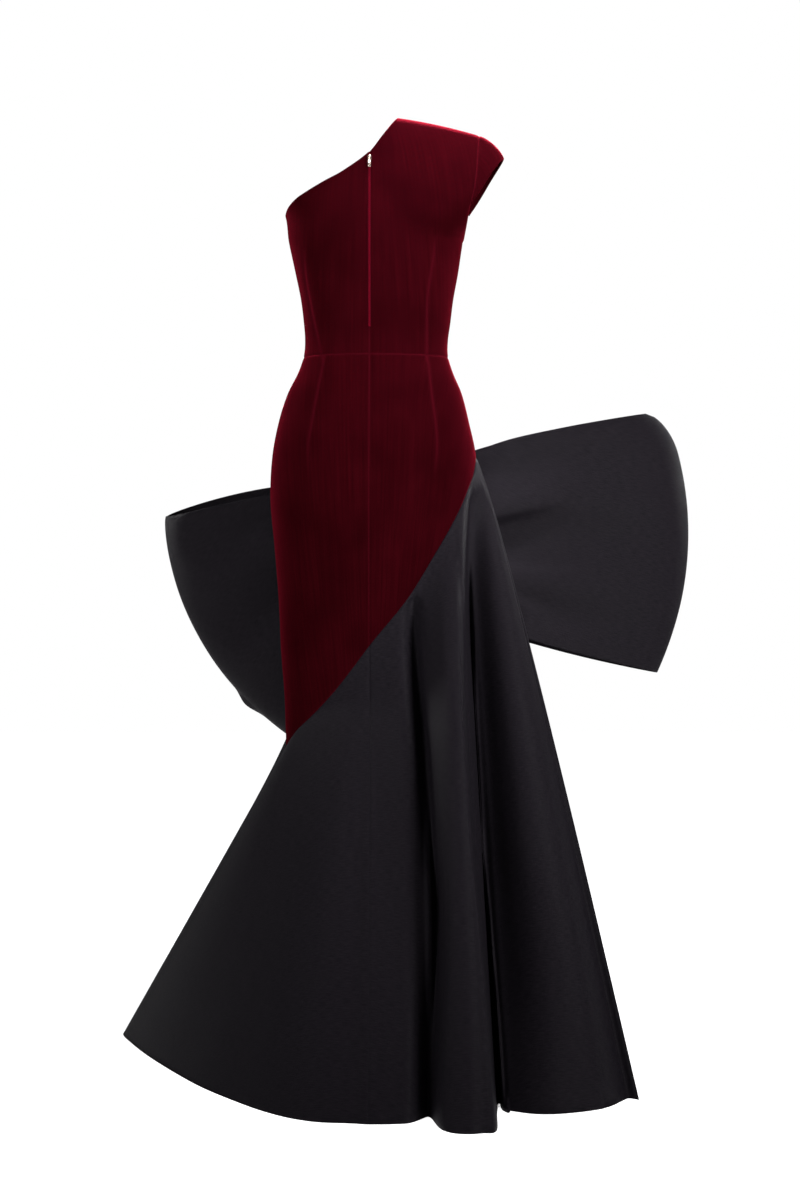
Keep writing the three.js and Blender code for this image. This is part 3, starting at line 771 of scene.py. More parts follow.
@dataclass(frozen=True)
class SilkVelvet(Finish):
    """Cotton-backed silk velvet, woven with a cut pile brushed downwards.

    To the eye it is nearly black where it faces you and glows crimson at its rims, with faint upright streaks
    where the pile leans a little to either side.
    """

    name: str = "silk_velvet"
    deep: str = "#180103"
    brushed: str = "#220205"
    # Colour of the painted highlight along seams and darts, which stands in for the sheen that their edges
    # catch
    painted_seam_highlight: str = "#2A0308"
    glow: str = "#FF3854"
    streak_wide: float = 3.4
    streak_long: float = 170.0
    cloud: float = 110.0
    tuft: float = 1.3

    def shade(self, tree: bpy.types.NodeTree) -> dict[str, object]:
        """Long thin noise for streaks, broad noise for hand marks, a fine bump for the pile, and a painted
        highlight along seams and darts in place of the sheen that their edges catch.
        """
        cloth = add_node(tree, "ShaderNodeUVMap", uv_map="cloth").outputs["UV"]
        stretched = add_node(tree, "ShaderNodeMapping", {
            "Vector": cloth, "Scale": (1 / (self.streak_wide * MM), 1 / (self.streak_long * MM), 1.0),
        }).outputs[0]
        streaks, clouds, tufts = (
            add_node(tree, "ShaderNodeTexNoise", {
                "Vector": place, "Scale": scale, "Detail": detail, "Roughness": rough,
            }, noise_dimensions="2D").outputs["Fac"]
            for place, scale, detail, rough in (
                (stretched, 1.0, 3.0, 0.6), (cloth, 1 / (self.cloud * MM), 2.0, 0.5),
                (cloth, 1 / (self.tuft * MM), 2.0, 0.7),
            )
        )
        both = add_node(tree, "ShaderNodeMath", {0: streaks, 1: clouds}, operation="MULTIPLY").outputs[0]
        tone = add_node(tree, "ShaderNodeMapRange", {"Value": both, "From Min": 0.1, "From Max": 0.42})
        colour = add_node(tree, "ShaderNodeMix", {
            SHARE: tone.outputs[0], LOW: srgb(self.deep), HIGH: srgb(self.brushed),
        }, data_type="RGBA").outputs[MIXED]
        # Painted highlight: a lighter red along seams and darts, in place of the sheen that their raised
        # edges catch
        near = add_node(tree, "ShaderNodeAttribute", attribute_name="painted_seam_highlight").outputs["Fac"]
        highlighted = add_node(tree, "ShaderNodeMix", {
            SHARE: near, LOW: colour, HIGH: srgb(self.painted_seam_highlight),
        }, data_type="RGBA").outputs[MIXED]
        pile = add_node(tree, "ShaderNodeMath", {0: tufts, 1: streaks}, operation="ADD").outputs[0]
        bump = add_node(tree, "ShaderNodeBump", {"Height": pile, "Strength": 0.35, "Distance": 0.0006})
        return {
            "Base Color": highlighted, "Normal": bump.outputs[0], "Roughness": 1.0, "Specular IOR Level": 0.0,
            "Sheen Weight": 0.17, "Sheen Roughness": 0.34, "Sheen Tint": srgb(self.glow),
        }


@dataclass(frozen=True)
class SilkFaille(Finish):
    """Black silk faille, woven with soft cross ribs and slubs.

    To the eye it is a stiff matt black with a soft satin light on what faces up, faintly violet, and thin
    uneven lines across.
    """

    name: str = "silk_faille"
    deep: str = "#0D0B0F"
    lit: str = "#181519"
    sheen: str = "#8F8E9C"
    rib: float = 1.5
    slub_long: float = 13.0
    slub_tall: float = 1.7
    grain: float = 1.6

    def shade(self, tree: bpy.types.NodeTree) -> dict[str, object]:
        """Waves for the ribs, noise long across for the slubs, and fine noise for the yarn."""
        cloth = add_node(tree, "ShaderNodeUVMap", uv_map="cloth").outputs["UV"]
        # Real ribs are half as wide; these are as coarse as they need to be to show.
        ribs = add_node(tree, "ShaderNodeTexWave", {
            "Vector": cloth, "Scale": 1 / (self.rib * MM) * WAVE, "Distortion": 1.6, "Detail": 2.0,
            "Detail Scale": 0.35, "Detail Roughness": 0.5,
        }, wave_type="BANDS", bands_direction="Y").outputs["Fac"]
        stretched = add_node(tree, "ShaderNodeMapping", {
            "Vector": cloth, "Scale": (1 / (self.slub_long * MM), 1 / (self.slub_tall * MM), 1.0),
        }).outputs[0]
        slubs = add_node(tree, "ShaderNodeTexNoise", {
            "Vector": stretched, "Scale": 1.0, "Detail": 3.0, "Roughness": 0.65,
        }, noise_dimensions="2D").outputs["Fac"]
        yarn = add_node(tree, "ShaderNodeTexNoise", {
            "Vector": cloth, "Scale": 1 / (self.grain * MM), "Detail": 2.0,
        }, noise_dimensions="2D").outputs["Fac"]
        tone = add_node(tree, "ShaderNodeMapRange", {"Value": slubs, "From Min": 0.3, "From Max": 0.72})
        colour = add_node(tree, "ShaderNodeMix", {
            SHARE: tone.outputs[0], LOW: srgb(self.deep), HIGH: srgb(self.lit),
        }, data_type="RGBA").outputs[MIXED]
        weave = add_node(tree, "ShaderNodeMath", {0: ribs, 1: slubs}, operation="ADD").outputs[0]
        height = add_node(tree, "ShaderNodeMath", {0: weave, 1: yarn}, operation="ADD").outputs[0]
        bump = add_node(tree, "ShaderNodeBump", {"Height": height, "Strength": 0.5, "Distance": 0.0007})
        return {
            "Base Color": colour, "Normal": bump.outputs[0], "Roughness": 0.58, "Specular IOR Level": 0.035,
            "Sheen Weight": 0.01, "Sheen Roughness": 0.45, "Sheen Tint": srgb(self.sheen),
        }


@dataclass(frozen=True)
class NylonCoil(Finish):
    """Crimson nylon monofilament, wound as a zip's coil: even and dull, sunk between the velvet's edges."""

    name: str = "nylon_coil"
    colour: str = "#560614"
    dusk: str = "#480410"
    mottle: float = 2.5

    def shade(self, tree: bpy.types.NodeTree) -> dict[str, object]:
        """Two near reds by a soft noise."""
        place = add_node(tree, "ShaderNodeTexCoord").outputs["Object"]
        noise = add_node(tree, "ShaderNodeTexNoise", {"Vector": place, "Scale": 1 / (self.mottle * MM)})
        colour = add_node(tree, "ShaderNodeMix", {
            SHARE: noise.outputs["Fac"], LOW: srgb(self.dusk), HIGH: srgb(self.colour),
        }, data_type="RGBA")
        return {"Base Color": colour.outputs[MIXED], "Roughness": 0.65, "Specular IOR Level": 0.0}


@dataclass(frozen=True)
class PolyesterTape(Finish):
    """Woven polyester zip tape, dyed to the velvet: a dull crimson with fine cross ribs."""

    name: str = "polyester_tape"
    colour: str = "#2C030A"
    raised: str = "#36040C"
    rib: float = 0.9

    def shade(self, tree: bpy.types.NodeTree) -> dict[str, object]:
        """Two near reds and a bump by the same bands."""
        cloth = add_node(tree, "ShaderNodeUVMap", uv_map="cloth").outputs["UV"]
        ribs = add_node(tree, "ShaderNodeTexWave", {
            "Vector": cloth, "Scale": 1 / (self.rib * MM) * WAVE,
        }, wave_type="BANDS", bands_direction="Y").outputs["Fac"]
        colour = add_node(tree, "ShaderNodeMix", {
            SHARE: ribs, LOW: srgb(self.colour), HIGH: srgb(self.raised),
        }, data_type="RGBA")
        bump = add_node(tree, "ShaderNodeBump", {"Height": ribs, "Strength": 0.3, "Distance": 0.0002})
        return {
            "Base Color": colour.outputs[MIXED], "Normal": bump.outputs[0], "Roughness": 0.8,
            "Specular IOR Level": 0.0,
        }


@dataclass(frozen=True)
class PaleNickel(Finish):
    """Die-cast zinc with a polished pale nickel plating: bright, faintly warm, with fine polishing lines."""

    name: str = "pale_nickel_plating"
    colour: str = "#D9C7B8"
    line_wide: float = 0.12
    line_long: float = 5.0

    def shade(self, tree: bpy.types.NodeTree) -> dict[str, object]:
        """A metal whose roughness follows thin lines across."""
        place = add_node(tree, "ShaderNodeTexCoord").outputs["Object"]
        along = 1 / (self.line_long * MM)
        lines = add_node(tree, "ShaderNodeMapping", {
            "Vector": place, "Scale": (along, along, 1 / (self.line_wide * MM)),
        })
        noise = add_node(tree, "ShaderNodeTexNoise", {"Vector": lines.outputs[0], "Scale": 1.0})
        rough = add_node(tree, "ShaderNodeMapRange", {
            "Value": noise.outputs["Fac"], "To Min": 0.14, "To Max": 0.34,
        })
        return {"Base Color": srgb(self.colour), "Metallic": 1.0, "Roughness": rough.outputs[0]}


@dataclass(frozen=True)
class StudioPaper(Finish):
    """White seamless studio paper, matt and faintly soft."""

    name: str = "studio_paper"
    colour: str = "#FFFFFF"
    glow_near: float = 0.9
    glow_far: float = 1.0
    near: float = 400.0
    far: float = 1600.0

    def shade(self, tree: bpy.types.NodeTree) -> dict[str, object]:
        """Matt white with a light of its own, more so away from the gown, as a lit cove has."""
        place = add_node(tree, "ShaderNodeTexCoord").outputs["Object"]
        level = add_node(tree, "ShaderNodeVectorMath", {0: place, 1: (1.0, 1.0, 0.0)}, operation="MULTIPLY")
        away = add_node(tree, "ShaderNodeVectorMath", {0: level.outputs[0]}, operation="LENGTH")
        glow = add_node(tree, "ShaderNodeMapRange", {
            "Value": away.outputs["Value"], "From Min": self.near * MM, "From Max": self.far * MM,
            "To Min": self.glow_near, "To Max": self.glow_far,
        }, interpolation_type="SMOOTHSTEP")
        white = srgb(self.colour)
        return {
            "Base Color": white, "Roughness": 0.9, "Emission Color": white,
            "Emission Strength": glow.outputs[0],
        }


@dataclass(frozen=True)
class Cut:
    """The flat size that a piece was cut to, in metres, and its area where it isn't a rectangle."""

    width: float
    length: float
    area: float
    held: str = "hung"
    rests_on: tuple[str, ...] = ()


def dress(piece: bpy.types.Object, material: bpy.types.Material, nodes: Sequence[str],
          body: str = "gown") -> None:
    """Gives a piece its material, the body that it rides on and the nodes that it stands for."""
    piece.data.materials.append(material)
    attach(piece, body)
    if nodes:
        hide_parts(*nodes)
    LOG.info("%s: %d faces", piece.name, len(piece.data.polygons))


def sew(cloth: Cloth, origin: Origin, material: bpy.types.Material) -> None:
    """Builds a piece of cloth and dresses it."""
    piece = cloth.build(origin)
    dress(piece, material, [cloth.name])


DART_WIDTH = 2.4


def dart(*path: tuple[float, float, float]) -> Crease:
    """A dart's line: a crease as wide as its stitches pull, with how strong it is in place of a height."""
    return Crease(path, DART_WIDTH, DART_WIDTH)


@dataclass
class VelvetDress:
    """The bodice, the cap sleeve and the skirt."""

    origin: Origin
    material: bpy.types.Material
    thickness: float = 2.0
    waist: float = 1132.0
    underarm_left: float = 1369.0
    underarm_right: float = 1327.0
    cap_foot: float = 1382.0
    cap_tip_x: float = -225.0
    cap_tip_height: float = 1467.0
    cap_foot_width: float = 0.6
    cap_swell: float = 0.9
    cap_hollow: float = 1.3
    cap_drop: float = 1.0
    cap_start: float = 2.0
    cap_droop: tuple[float, float, float] = (0.2, 0.0, -0.7)
    dart_depth: float = 1.1
    rounds: int = 14
    measured: int = 60
    measured_row: float = 0.4
    skirt_rows: int = 100

    cuts = {
        "bodice_back_left": Cut(0.175, 0.30, 0.047),
        "bodice_back_right": Cut(0.215, 0.415, 0.075),
        "bodice_front": Cut(0.40, 0.415, 0.124),
        "cap_sleeve": Cut(0.17, 0.06, 0.0066),
        "skirt_back_left": Cut(0.25, 0.66, 0.127),
        "skirt_back_right": Cut(0.25, 0.50, 0.073),
        "skirt_front": Cut(0.51, 0.66, 0.161),
    }

    def right_edge_turn(self, height: Array, depth_of: Curve) -> Array:
        """Turn of the bodice's right edge: the side seam, then the armhole."""
        reached = BODY.turn_to_reach(armhole_x(height), height, depth_of(height))
        return np.where(height <= self.underarm_right, 90.0, reached)

    def bodice_point(self, turn: Array, v: Array, neckline: Curve) -> Array:
        """A bodice point: rows run level at the waist and take the shape of the top line at the top.

        The height is found by going back and forth between it and the top line over the point's x.
        """
        height = mix(self.waist, self.underarm_left, v)
        for _ in range(self.rounds):
            x = BODY.point(turn, height)[..., 0]
            top = np.where(x < BODY.neck_x, BODY.shoulder_height(x), neckline(x))
            height = mix(self.waist, top, v)
        return BODY.point(turn, height)

    def neck_share(self, depth_of: Curve, edge: float, full: float) -> float:
        """Share of the way across, from the right edge, at which a panel meets the shoulder's neck end."""
        x, height = np.array(BODY.neck_x), np.array(BODY.neck_height)
        return float((edge - BODY.turn_to_reach(x, height, depth_of(height))) / full)

    def back_left(self, u: Array, v: Array) -> Array:
        """The left back: turns from the left side seam to the zip."""
        return self.bodice_point(mix(-90, 0, u), v, neck_behind)

    def back_right(self, u: Array, v: Array) -> Array:
        """The right back: turns from the zip to the side seam and armhole."""
        edge = self.right_edge_turn(mix(self.waist, BODY.shoulder_height(BODY.tip_x), v), BODY.back_of)
        return self.bodice_point(u * edge, v, neck_behind)

    def front(self, u: Array, v: Array) -> Array:
        """The front: turns from the right edge round to the left side seam."""
        edge = 180 - self.right_edge_turn(mix(self.waist, BODY.shoulder_height(BODY.tip_x), v), BODY.front_of)
        return self.bodice_point(mix(edge, 270, u), v, neck_before)

    def cap(self, u: Array, v: Array) -> Array:
        """The cap: a cubic from the armhole, in line with the shoulder, that curls down to its hem."""
        tip_height = BODY.shoulder_height(BODY.tip_x)
        angle = mix(-90, 90, u)
        up = np.cos(np.radians(angle))
        height = mix(self.cap_foot, tip_height, up)
        behind = angle < 0
        depth = np.where(behind, BODY.back_of(height), BODY.front_of(height))
        facing = np.where(behind, 0.0, 180.0)
        edge = np.abs(facing - BODY.turn_to_reach(armhole_x(height), height, depth))
        seam = BODY.point(edge, height)
        outwards = seam - BODY.point(edge + np.where(behind, -self.cap_start, self.cap_start), height)
        outwards[..., 2] = 0
        along = unit(np.array([-1.0, 0.0, -BODY.shoulder_fall * 2]))
        lift = up[..., None]
        start = unit(mix(unit(outwards), along, lift))
        reach = np.zeros_like(seam)
        reach[..., 0] = mix(-self.cap_foot_width, self.cap_tip_x - BODY.tip_x, up ** self.cap_hollow)
        reach[..., 2] = mix(-self.cap_drop, self.cap_tip_height - tip_height, up)
        length = np.linalg.norm(reach, axis=-1, keepdims=True)
        end = unit(reach + np.array(self.cap_droop) * length * lift)
        w = (1 - v)[..., None]
        curl = self.cap_swell * length * w * (1 - w)
        return seam + reach * smooth(w) + start * curl * (1 - w) - end * curl * w

    def skirt_point(self, turn: Array, v: Array) -> Array:
        """A skirt point: heights from the slanted seam to the waist."""
        return BODY.point(turn, mix(seam_height(turn), self.waist, v))

    # Darts as they show from behind: a fine line from the waist that runs out up the back and over the hip
    back_darts = (
        dart((112, 1327, 0), (111, 1290, 0.7), (105.7, 1248, 1), (93, 1185, 1), (79.4, 1129, 0.9)),
        dart((-111, 1344, 0), (-107, 1305, 0.7), (-97, 1234, 1), (-95.6, 1129, 0.9)),
        dart((76.6, 1135, 0.9), (89.9, 1068, 1), (97.8, 1023, 0.9), (104, 983, 0.7), (102.4, 926, 0)),
        dart((-97.2, 1135, 0.9), (-104.6, 1068, 1), (-110.7, 1023, 0.9), (-112.8, 981, 0.7),
             (-107.9, 930, 0)),
    )
    # The hidden front has like darts, from the waist up to the bust and down over the hips
    front_darts = (
        dart((62, 1129, 0.9), (66, 1180, 1), (68, 1245, 0)),
        dart((-66, 1129, 0.9), (-69, 1180, 1), (-71, 1245, 0)),
        dart((60, 1135, 0.9), (63, 1080, 0.8), (66, 1030, 0)),
        dart((-64, 1135, 0.9), (-68, 1080, 0.8), (-71, 1030, 0)),
    )

    def back_lines(self, grid: Grid) -> Array:
        """The darts of the back, as seen from behind, from 0 to 1."""
        return creased(self.back_darts, CAMERA.seen(grid.points))

    def front_lines(self, grid: Grid) -> Array:
        """The darts of the front, from 0 to 1."""
        return creased(self.front_darts, from_front(grid.points))

    def panel(self, name: str, surface: Surface, columns: int, rows: int, sewn: tuple[Edge, ...],
              darts: Callable[[Grid], Array], grain: float, level: Edge, corner: float | None = None,
              runs_on: bool = False) -> Cloth:
        """A velvet panel with extra columns and rows by its seams.

        Args:
            name: The piece's name.
            surface: Its surface.
            columns: Steps across.
            rows: Steps up.
            sewn: Its sewn edges.
            darts: How near each point is to a dart's stitches, for their troughs and their painted highlight.
            grain: Share across of its straight grain.
            level: Its edge at the waist.
            corner: Share across of a corner of the top line, which gets a column of its own.
            runs_on: True where the surface goes on past its sides.

        Returns:
            The piece of cloth, not yet built.
        """
        run = np.linspace(0, 1, self.measured)
        width = lengths(surface(run, np.full_like(run, self.measured_row)), 0)[-1]
        tall = lengths(surface(np.full_like(run, 0.5), run), 0)[-1]
        across = shares(columns, width, sewn, Edge.START, Edge.END)
        if corner is not None:
            across[np.abs(across - corner).argmin()] = corner
        up = shares(rows, tall, sewn, Edge.FOOT, Edge.TOP)

        def relief(grid: Grid) -> Array:
            """The slight troughs of the darts."""
            return -self.dart_depth * darts(grid)
        return Cloth(name, surface, across, up, self.thickness, sewn, relief, darts, runs_on=runs_on,
                     grain=grain, level=level)

    def build(self) -> None:
        """Makes the seven velvet pieces."""
        tip = BODY.shoulder_height(BODY.tip_x)
        start, end, foot, top = Edge.START, Edge.END, Edge.FOOT, Edge.TOP
        back_edge = float(self.right_edge_turn(np.array(tip), BODY.back_of))
        front_edge = float(self.right_edge_turn(np.array(tip), BODY.front_of))
        back_corner = 1 - self.neck_share(BODY.back_of, back_edge, back_edge)
        front_corner = self.neck_share(BODY.front_of, front_edge, 90 + front_edge)
        sides, ring = (start, end, foot), (start, end, foot, top)
        pieces = [
            self.panel("bodice_back_left", self.back_left, 84, 84, sides, self.back_lines, 1, foot),
            self.panel("bodice_back_right", self.back_right, 96, 84, ring, self.back_lines, 0, foot,
                       back_corner),
            self.panel("bodice_front", self.front, 150, 84, ring, self.front_lines, 0.5, foot, front_corner),
            self.panel("cap_sleeve", self.cap, 90, 22, (top,), no_relief, 0.5, top),
        ]
        skirts = (
            ("skirt_back_left", -90, 0, 112, self.back_lines, 1),
            ("skirt_back_right", 0, 90, 118, self.back_lines, 0),
            ("skirt_front", 90, 270, 190, self.front_lines, 0.5),
        )
        for name, first, last, columns, darts, grain in skirts:
            def skirt(u: Array, v: Array, first: float = first, last: float = last) -> Array:
                """The skirt between two turns."""
                return self.skirt_point(mix(first, last, u), v)
            pieces.append(self.panel(name, skirt, columns, self.skirt_rows, ring, darts, grain, top,
                                     runs_on=True))
        for cloth in pieces:
            sew(cloth, self.origin, self.material)


@dataclass
class Flounce:
    """The faille flounce, from the slanted seam to the hem and the train on the floor."""

    origin: Origin
    material: bpy.types.Material
    thickness: float = 1.8
    flutes_from: float = 108.0
    flutes_to: float = 262.0
    flute_count: int = 6
    flute_depth: float = 17.0
    let_out: float = 16.0
    even_row: float = 0.35
    fall: float = 900.0
    rows: int = 120
    front_below: float = 100.0
    by_seams: tuple[float, ...] = (0.0012, 0.0028, 0.005)

    cuts = {
        "flounce_back_left": Cut(0.95, 1.02, 0.32, "hung", ("skirt_back_left",)),
        "flounce_back_right": Cut(1.30, 1.20, 0.545, "hung", ("skirt_back_right",)),
        "flounce_front": Cut(1.55, 1.05, 0.75, "hung", ("skirt_front",)),
    }

    def flutes(self, turn: Array) -> Array:
        """Soft flutes of the hidden front at the hem: a sine of the turn that grows and dies with another."""
        share = np.clip((turn - self.flutes_from) / (self.flutes_to - self.flutes_from), 0, 1)
        return self.flute_depth * np.sin(2 * np.pi * self.flute_count * share) * np.sin(np.pi * share)

    def point(self, turn: Array, v: Array) -> Array:
        """A flounce point: the seam's goes over to the hem's by powers of the drop, at an even fall."""
        drop = 1 - v
        seam = BODY.point(turn, seam_height(turn))
        hem = np.stack([hem_x(turn), hem_y(turn)], -1)
        hem = hem + unit(hem) * self.flutes(turn)[..., None]
        x = mix(seam[..., 0], hem[..., 0], drop ** hem_spread(turn))
        y = mix(seam[..., 1], hem[..., 1], drop ** hem_sweep(turn))
        return np.stack([x, y, seam[..., 2] * v], -1)

    # Creases of the back, as they show from behind, from the seam down
    back_creases = (
        # The deep fold beside the centre, from its pucker in the seam: its far side is the big flute's wall
        Crease(((-72, 742, 0), (-75, 715, -14), (-76, 659, -26), (-86, 558, -34), (-97, 474, -46),
                (-103, 390, -58), (-109, 306, -62), (-115, 222, -68), (-115, 138, -64), (-112, 54, -56),
                (-108, -30, -42), (-104, -114, -30), (-102, -160, -24)), 14, 8),
        # The light strip to the left of it
        Crease(((-46, 690, 0), (-48, 600, 3), (-58, 469, 5), (-66, 275, 6), (-70, 90, 6), (-62, -150, 5)),
               24, 14),
        # The round crest of the big flute
        Crease(((-128, 820, 0), (-132, 700, 4), (-142, 540, 7), (-150, 390, 8), (-160, 222, 8), (-170, 54, 8),
                (-176, -140, 6)), 26, 22),
        # The flute's sharp far edge, and the dark floor beyond it, which fans out downwards
        Crease(((-157, 800, 0), (-160, 726, -22), (-163, 659, -40), (-166, 558, -57), (-171, 474, -68),
                (-176, 390, -78), (-181, 306, -84), (-189, 222, -90), (-196, 138, -100), (-203, 54, -106),
                (-209, -30, -108), (-212, -80, -108), (-215, -114, -50), (-217, -148, 0)), 10, 10, 0.5, 4),
        Crease(((-172, 918, 0), (-168, 880, -24), (-166, 793, -42), (-168, 726, -50), (-171, 659, -54),
                (-176, 558, -58), (-184, 440, -60), (-193, 306, -62), (-202, 222, -62), (-213, 100, -56),
                (-222, 0, -42), (-231, -110, -22)), 4, 26, 2.9),
        # The puffed arch where the flounce leaves the hip, and its crest
        Crease(((-182, 922, 0), (-198, 913, 6), (-215, 886, 9), (-234, 827, 9), (-252, 768, 8),
                (-282, 659, 6), (-330, 457, 0)), 11, 8),
        # The broad light ridge before the side seam
        Crease(((-225, 700, 0), (-262, 540, 5), (-308, 330, 9), (-352, 120, 10), (-384, -80, 8)), 40, 24),
        # Slight waves of the left side and the train
        Crease(((40, 600, 0), (80, 350, 4), (130, 60, 6), (150, -160, 5)), 55, 50),
        Crease(((-6, 560, 0), (10, 300, -3), (30, 20, -4), (40, -170, -4)), 32, 40),
        Crease(((120, 430, 0), (200, 200, -4), (290, 0, -6), (340, -110, -4)), 45, 50),
    )
    # Creases of the hidden front, as they show from the front
    front_creases = (
        Crease(((-30, 690, 0), (-10, 500, -6), (25, 250, -9), (45, 0, -8)), 14, 26),
        Crease(((40, 640, 0), (75, 420, 5), (120, 200, 8), (150, 0, 8)), 30, 24),
        Crease(((-110, 800, 0), (-150, 560, 5), (-205, 280, 8), (-240, 0, 8)), 34, 28),
        Crease(((-80, 780, 0), (-95, 560, -5), (-125, 280, -8), (-140, 0, -7)), 16, 28),
        Crease(((110, 560, 0), (170, 380, -5), (235, 190, -8), (270, 0, -7)), 24, 16),
    )

    def relief(self, grid: Grid) -> Array:
        """The creases of the back or the front, let out softly before the sewn edges."""
        is_front = grid.points[..., 1].mean() < self.front_below
        lift = creased(self.front_creases, from_front(grid.points)) if is_front else creased(
            self.back_creases, CAMERA.seen(grid.points))
        for edge in (Edge.TOP, Edge.START, Edge.END):
            lift = lift * smooth(grid.from_edge(edge) / self.let_out)
        return lift

    def build(self) -> None:
        """Makes the three flounce pieces."""
        panels = (
            ("flounce_back_left", -90, 0, 130, 1.0),
            ("flounce_back_right", 0, 90, 290, 0.0),
            ("flounce_front", 90, 270, 170, 0.5),
        )
        sewn = (Edge.START, Edge.END, Edge.TOP)
        for name, first, last, columns, grain in panels:
            def surface(u: Array, v: Array, first: float = first, last: float = last) -> Array:
                """The flounce between two turns."""
                return self.point(mix(first, last, u), v)
            toward = None if name == "flounce_front" else CAMERA.sight

            def folded(u: Array, v: Array) -> Array:
                """The back with its creases, so that a steep fold gets as many columns as a flat one."""
                points = surface(u, v)
                lift = creased(self.back_creases, CAMERA.seen(points))
                return points + CAMERA.sight(points) * lift[..., None]
            across = even_by_length(folded if toward else surface, columns, self.even_row)
            near = np.array(self.by_seams)
            across = np.unique(np.concatenate([[0], near, across[1:-1], 1 - near, [1]]))
            up = shares(self.rows, self.fall, sewn, Edge.FOOT, Edge.TOP)
            cloth = Cloth(name, surface, across, up, self.thickness, sewn, self.relief, toward=toward,
                          runs_on=True, grain=grain, level=Edge.TOP)
            sew(cloth, self.origin, self.material)


@dataclass(frozen=True)
class Loop:
    """One loop of the bow: the way that it reaches, its own up, its sizes and how round its top corner is."""

    name: str
    axis: tuple[float, float, float]
    up: tuple[float, float, float]
    length: float
    sag: float
    half_tall: float
    swell: float
    back_first: float
    corner: float
    cut: Cut


